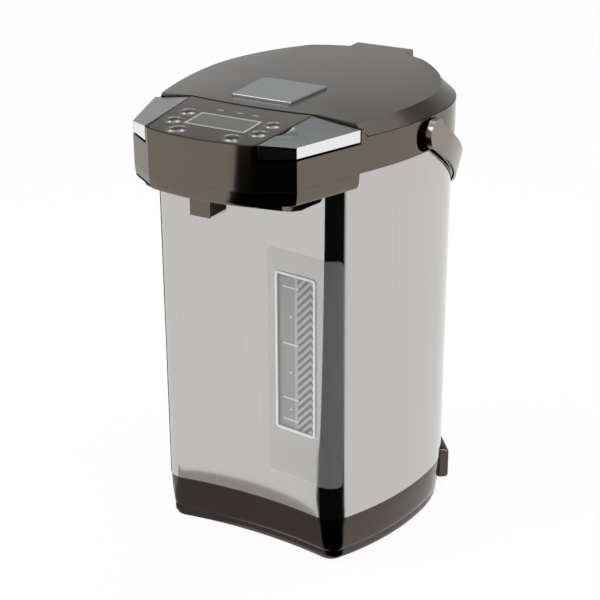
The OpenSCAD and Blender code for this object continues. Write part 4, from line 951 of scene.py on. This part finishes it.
def patch(name, outline, g0, g1, finish, steps=2.0):
    """Thin plate on the body's skin: an outline in x and z, between two offsets from the skin."""
    pts = []
    n = len(outline)
    for i, p in enumerate(outline):
        q = outline[(i + 1) % n]
        k = max(1, int(abs(q[0] - p[0]) / steps))
        for j in range(k):
            t = j / k
            pts.append((p[0] + (q[0] - p[0]) * t, p[1] + (q[1] - p[1]) * t))
    secs = [[(p[0], surface_y(p[0], g), p[1]) for p in pts] for g in (g0, g1)]
    obj = rings(name, secs)
    # The outline's plane is bent, so the faces follow it in narrow strips
    bm = bmesh.new()
    bm.from_mesh(obj.data)
    x = min(p[0] for p in pts)
    while x < max(p[0] for p in pts):
        geom = bm.verts[:] + bm.edges[:] + bm.faces[:]
        bmesh.ops.bisect_plane(bm, geom=geom, plane_co=(x * MM, 0, 0), plane_no=(1, 0, 0))
        x += steps
    for v in bm.verts:
        xm = v.co.x / MM
        near = min((g0, g1), key=lambda g: abs(surface_y(xm, g) - (v.co.y / MM - SHIFT)))
        v.co.y = (surface_y(xm, near) + SHIFT) * MM
    bm.to_mesh(obj.data)
    bm.free()
    soften(obj, 32)
    return finish_piece(obj, finish, "root", "white")


def plate_outline(x0, x1, z0, z1, r=0.0, count=6):
    """Rectangle in x and z, with rounded corners where r isn't 0."""
    if r <= 0:
        return [(x0, z0), (x1, z0), (x1, z1), (x0, z1)]
    corners = ((x1 - r, z0 + r, -90), (x1 - r, z1 - r, 0), (x0 + r, z1 - r, 90), (x0 + r, z0 + r, 180))
    out = []
    for cx, cz, a in corners:
        out += bow(cx, cz, r, [a + 90 * i / count for i in range(count + 1)])
    return out


def wrapped(name, x0, x1, z0, z1, g0, g1, r, finish, slot):
    """Rounded plate that follows the body's skin, also round the corner."""
    line0, line1 = right_front(g0), right_front(g1)
    cols = [i for i, p in enumerate(line0) if x0 < p[0] < x1 and p[1] < -60]
    xs0, xs1 = [line0[i] for i in cols], [line1[i] for i in cols]
    # Arc length along the skin gives the rounded ends
    s = [0.0]
    for a, b in zip(xs0, xs0[1:]):
        s.append(s[-1] + (b - a).length)
    total = s[-1]

    def ends(d):
        e = min(d, total - d)
        if e >= r:
            return z0, z1
        h = r - math.sqrt(max(0.0, r * r - (r - e) ** 2))
        return z0 + h, z1 - h

    pts, faces = [], []
    rows = 24
    for k, line in enumerate((xs0, xs1)):
        for j, p in enumerate(line):
            lo, hi = ends(s[j])
            for i in range(rows + 1):
                pts.append((p[0], p[1], lo + (hi - lo) * i / rows))
    m, w = len(xs0), rows + 1
    half = m * w
    for j in range(m - 1):
        for i in range(rows):
            a = j * w + i
            faces += [[a, a + 1, a + w + 1, a + w], [half + a, half + a + w, half + a + w + 1, half + a + 1]]
        a = j * w
        faces += [[a, a + w, half + a + w, half + a],
                  [a + rows, half + a + rows, half + a + w + rows, a + w + rows]]
    for i in range(rows):
        a, b = i, (m - 1) * w + i
        faces += [[a, half + a, half + a + 1, a + 1], [b, b + 1, half + b + 1, half + b]]
    obj = piece(name, pts, faces)
    return finish_piece(obj, finish, "root", slot)


cover = wrapped("clear_cover", 15, 79.4, 66, 248, 0.4, 1.3, 5.0, cover_clear, "clear")
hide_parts("window_cover")

# Printing on the back of the clear cover
WX0, WX1, WZ0, WZ1 = 23.8, 58.5, 105.0, 231.0
patch("scale_ground", plate_outline(WX0 + 1, 39.6, WZ0 + 1, WZ1 - 1), -1.3, -0.9, print_ground)
patch("light_band", plate_outline(39.6, 42.0, WZ0 + 1, WZ1 - 1), -1.3, -0.85, print_hatch)
for i, z in enumerate((220.0, 175.0, 130.5, 112.7)):
    patch("level_mark_%d" % (i + 1), plate_outline(29, 43, z - 0.45, z + 0.45), -0.9, -0.7, print_white)
for i, z in enumerate((197.0, 152.0, 121.5)):
    patch("level_dot_%d" % (i + 1), plate_outline(35, 36.6, z - 0.8, z + 0.8, 0.75), -0.9, -0.7, print_white)
patch("hatch_ground", plate_outline(42.0, WX1 - 1, WZ0 + 1, WZ1 - 1), -1.3, -0.95, print_ground)


HATCH_X = 42.2
HATCH_PEAK = 54.0
HATCH_STEP = 6.3
HATCH_TALL = 3.1


def chevron(x):
    """Height of a hatch stripe's lower edge above its start: rises, then turns down."""
    return 1.08 * (min(x, HATCH_PEAK) - HATCH_X) - 1.2 * max(0.0, x - HATCH_PEAK)


for i in range(22):
    z = WZ0 - 11 + i * HATCH_STEP
    xs = [HATCH_X + 0.4 * k for k in range(39)]
    lows = [max(z + chevron(x), WZ0 + 1.2) for x in xs]
    tops = [min(z + chevron(x) + HATCH_TALL, WZ1 - 1.2) for x in xs]
    strip = [q for q in zip(xs, lows, tops) if q[2] - q[1] > 0.2]
    if len(strip) > 2:
        border = [(q[0], q[1]) for q in strip] + [(q[0], q[2]) for q in reversed(strip)]
        patch("hatch_stripe_%02d" % (i + 1), border, -0.95, -0.8, print_hatch)
# White border of the window
outer_b = plate_outline(WX0 - 0.4, WX1 + 0.4, WZ0 - 0.4, WZ1 + 0.4, 3.0)
inner_b = plate_outline(WX0 + 1.1, WX1 - 1.1, WZ0 + 1.1, WZ1 - 1.1, 1.8)
n_b = len(outer_b)
pts, faces = [], []
for g in (-0.3, 1.3):
    for line in (outer_b, inner_b):
        pts += [(p[0], surface_y(p[0], g), p[1]) for p in line]
for i in range(n_b):
    j = (i + 1) % n_b
    faces += [[i, j, n_b + j, n_b + i], [2 * n_b + i, 2 * n_b + j, 3 * n_b + j, 3 * n_b + i],
              [i, j, 2 * n_b + j, 2 * n_b + i], [n_b + i, n_b + j, 3 * n_b + j, 3 * n_b + i]]
border = piece("window_border", pts, faces)
finish_piece(border, print_white, "root", "white")

# ---------------------------------------------------------------- studio


def stage_plane(name, points):
    """Flat piece of the studio."""
    mesh = bpy.data.meshes.new(name)
    mesh.from_pydata([place(p) for p in points], [], [list(range(len(points)))])
    obj = bpy.data.objects.new(name, mesh)
    scene.collection.objects.link(obj)
    return obj


def plainly_seen(tree):
    """1 for camera rays and for rays mirrored or passed on by the pot, otherwise 0."""
    paths = tree.nodes.new("ShaderNodeLightPath")
    level = paths.outputs["Is Camera Ray"]
    for kind in ("Is Glossy Ray", "Is Transmission Ray"):
        larger = tree.nodes.new("ShaderNodeMath")
        larger.operation = "MAXIMUM"
        tree.links.new(level, larger.inputs[0])
        tree.links.new(paths.outputs[kind], larger.inputs[1])
        level = larger.outputs[0]
    return level


def floor_finish():
    """Pale floor that shows almost as white but still takes the pot's shadow."""
    mat, tree, shader = new_finish("pale_floor")
    shader.inputs["Base Color"].default_value = (0.9, 0.9, 0.9, 1)
    shader.inputs["Roughness"].default_value = 0.9
    glow = tree.nodes.new("ShaderNodeEmission")
    glow.inputs["Color"].default_value = (1, 1, 1, 1)
    glow.inputs["Strength"].default_value = 1.0
    share = tree.nodes.new("ShaderNodeMath")
    share.operation = "MULTIPLY"
    share.inputs[1].default_value = 0.93
    tree.links.new(plainly_seen(tree), share.inputs[0])
    mix = tree.nodes.new("ShaderNodeMixShader")
    tree.links.new(share.outputs[0], mix.inputs["Fac"])
    tree.links.new(shader.outputs[0], mix.inputs[1])
    tree.links.new(glow.outputs[0], mix.inputs[2])
    tree.links.new(mix.outputs[0], tree.nodes["Material Output"].inputs["Surface"])
    return mat


FLOOR = 6000
FLOOR_Z = -0.05
floor = stage_plane("studio_floor", [(x * FLOOR, y * FLOOR, FLOOR_Z)
                                     for x, y in ((-1, -1), (1, -1), (1, 1), (-1, 1))])
floor.data.materials.append(floor_finish())


def glow_card(name, points, level):
    """Card that only shows in glossy surfaces, at an even brightness."""
    obj = stage_plane(name, points)
    mat, _, shader = new_finish(name)
    shader.inputs["Base Color"].default_value = (0.004, 0.004, 0.004, 1)
    shader.inputs["Roughness"].default_value = 1.0
    shader.inputs["Specular IOR Level"].default_value = 0.0
    shader.inputs["Emission Color"].default_value = (1, 1, 1, 1)
    shader.inputs["Emission Strength"].default_value = level
    obj.data.materials.append(mat)
    obj.visible_camera = False
    obj.visible_diffuse = False
    obj.visible_transmission = False
    obj.visible_shadow = False


# Dark cards on the floor that the polished front corners mirror
glow_card("dark_card", [(x, y, 0.3) for x, y in (
    (79, -97), (70, -111), (-8, -170), (-68, -228), (-100, -351), (-119, -500), (-145, -700), (-175, -900),
    (-200, -1400), (1800, -1400), (1800, 60))], 0.0)
glow_card("left_card", [(x, y, 0.3) for x, y in (
    (-100, -92), (-1505, 418), (-890, 1177), (-100, -60))], 0.02)
# The shade card is painted shadow: a grey card just before the base, seen only in mirrors. It stands in for
# the floor's shade at the pot's foot, so the base's front mirrors it darker.
glow_card("shade_card", [(x, y, 0.25) for x, y in (
    (-104, -98), (72, -112), (45, -138), (-8, -161), (-45, -175), (-75, -186), (-118, -183))], 0.45)
# Grey cards on the table's far side, mirrored by the level tops; the middle one by the lid's right facet
CARD_Y = 1250
tiers = (("low", 150, 1040, 0.6), ("middle", 1040, 1340, 0.2), ("high", 1340, 2600, 0.36))
for tier, low, high, level in tiers:
    edge = ((-2200, low), (850, low), (850, high), (-2200, high))
    glow_card(tier + "_grey_card", [(x, CARD_Y, z) for x, z in edge], level)

world = bpy.data.worlds.new("studio_world")
scene.world = world
world.use_nodes = True
wt = world.node_tree
back = wt.nodes["Background"]
level = wt.nodes.new("ShaderNodeMapRange")
level.inputs["To Min"].default_value = 0.5
level.inputs["To Max"].default_value = 1.0
wt.links.new(plainly_seen(wt), level.inputs["Value"])
wt.links.new(level.outputs["Result"], back.inputs["Strength"])
back.inputs["Color"].default_value = (1, 1, 1, 1)


def softbox(name, at, target, size, power):
    """Rectangular soft light that faces a target; places in metres."""
    light = bpy.data.lights.new(name, "AREA")
    light.shape = "RECTANGLE"
    light.size, light.size_y = size
    light.energy = power
    obj = bpy.data.objects.new(name, light)
    scene.collection.objects.link(obj)
    obj.location = at
    obj.rotation_euler = (Vector(target) - Vector(at)).to_track_quat("-Z", "Y").to_euler()


softbox("key_softbox", (-1.1, -1.0, 1.5), (0, 0, 0.2), (1.2, 1.2), 22)
softbox("fill_softbox", (1.5, -0.1, 0.9), (0, 0, 0.2), (1.0, 1.2), 12)
softbox("top_softbox", (0.1, 0.5, 1.7), (0, 0, 0.3), (1.2, 1.0), 10)

# Camera at the height and turn of a person looking down at the table
AZ, EL, ROLL = math.radians(30.057), math.radians(23.100), math.radians(-0.206)
cam = bpy.data.cameras.new("camera")
cam.lens = 91.4
cam.sensor_width = 36.0
cam.sensor_fit = "HORIZONTAL"
cam.clip_end = 50
eye = bpy.data.objects.new("camera", cam)
scene.collection.objects.link(eye)
forward = Vector((-math.sin(AZ) * math.cos(EL), math.cos(AZ) * math.cos(EL), -math.sin(EL)))
right = Vector((math.cos(AZ), math.sin(AZ), 0))
up = right.cross(forward)
right, up = right * math.cos(ROLL) + up * math.sin(ROLL), up * math.cos(ROLL) - right * math.sin(ROLL)
m = Matrix((right, up, -forward)).transposed().to_4x4()
m.translation = place((549.5, -978.9, 642.7))
eye.matrix_world = m
scene.camera = eye

scene.view_settings.view_transform = "Standard"
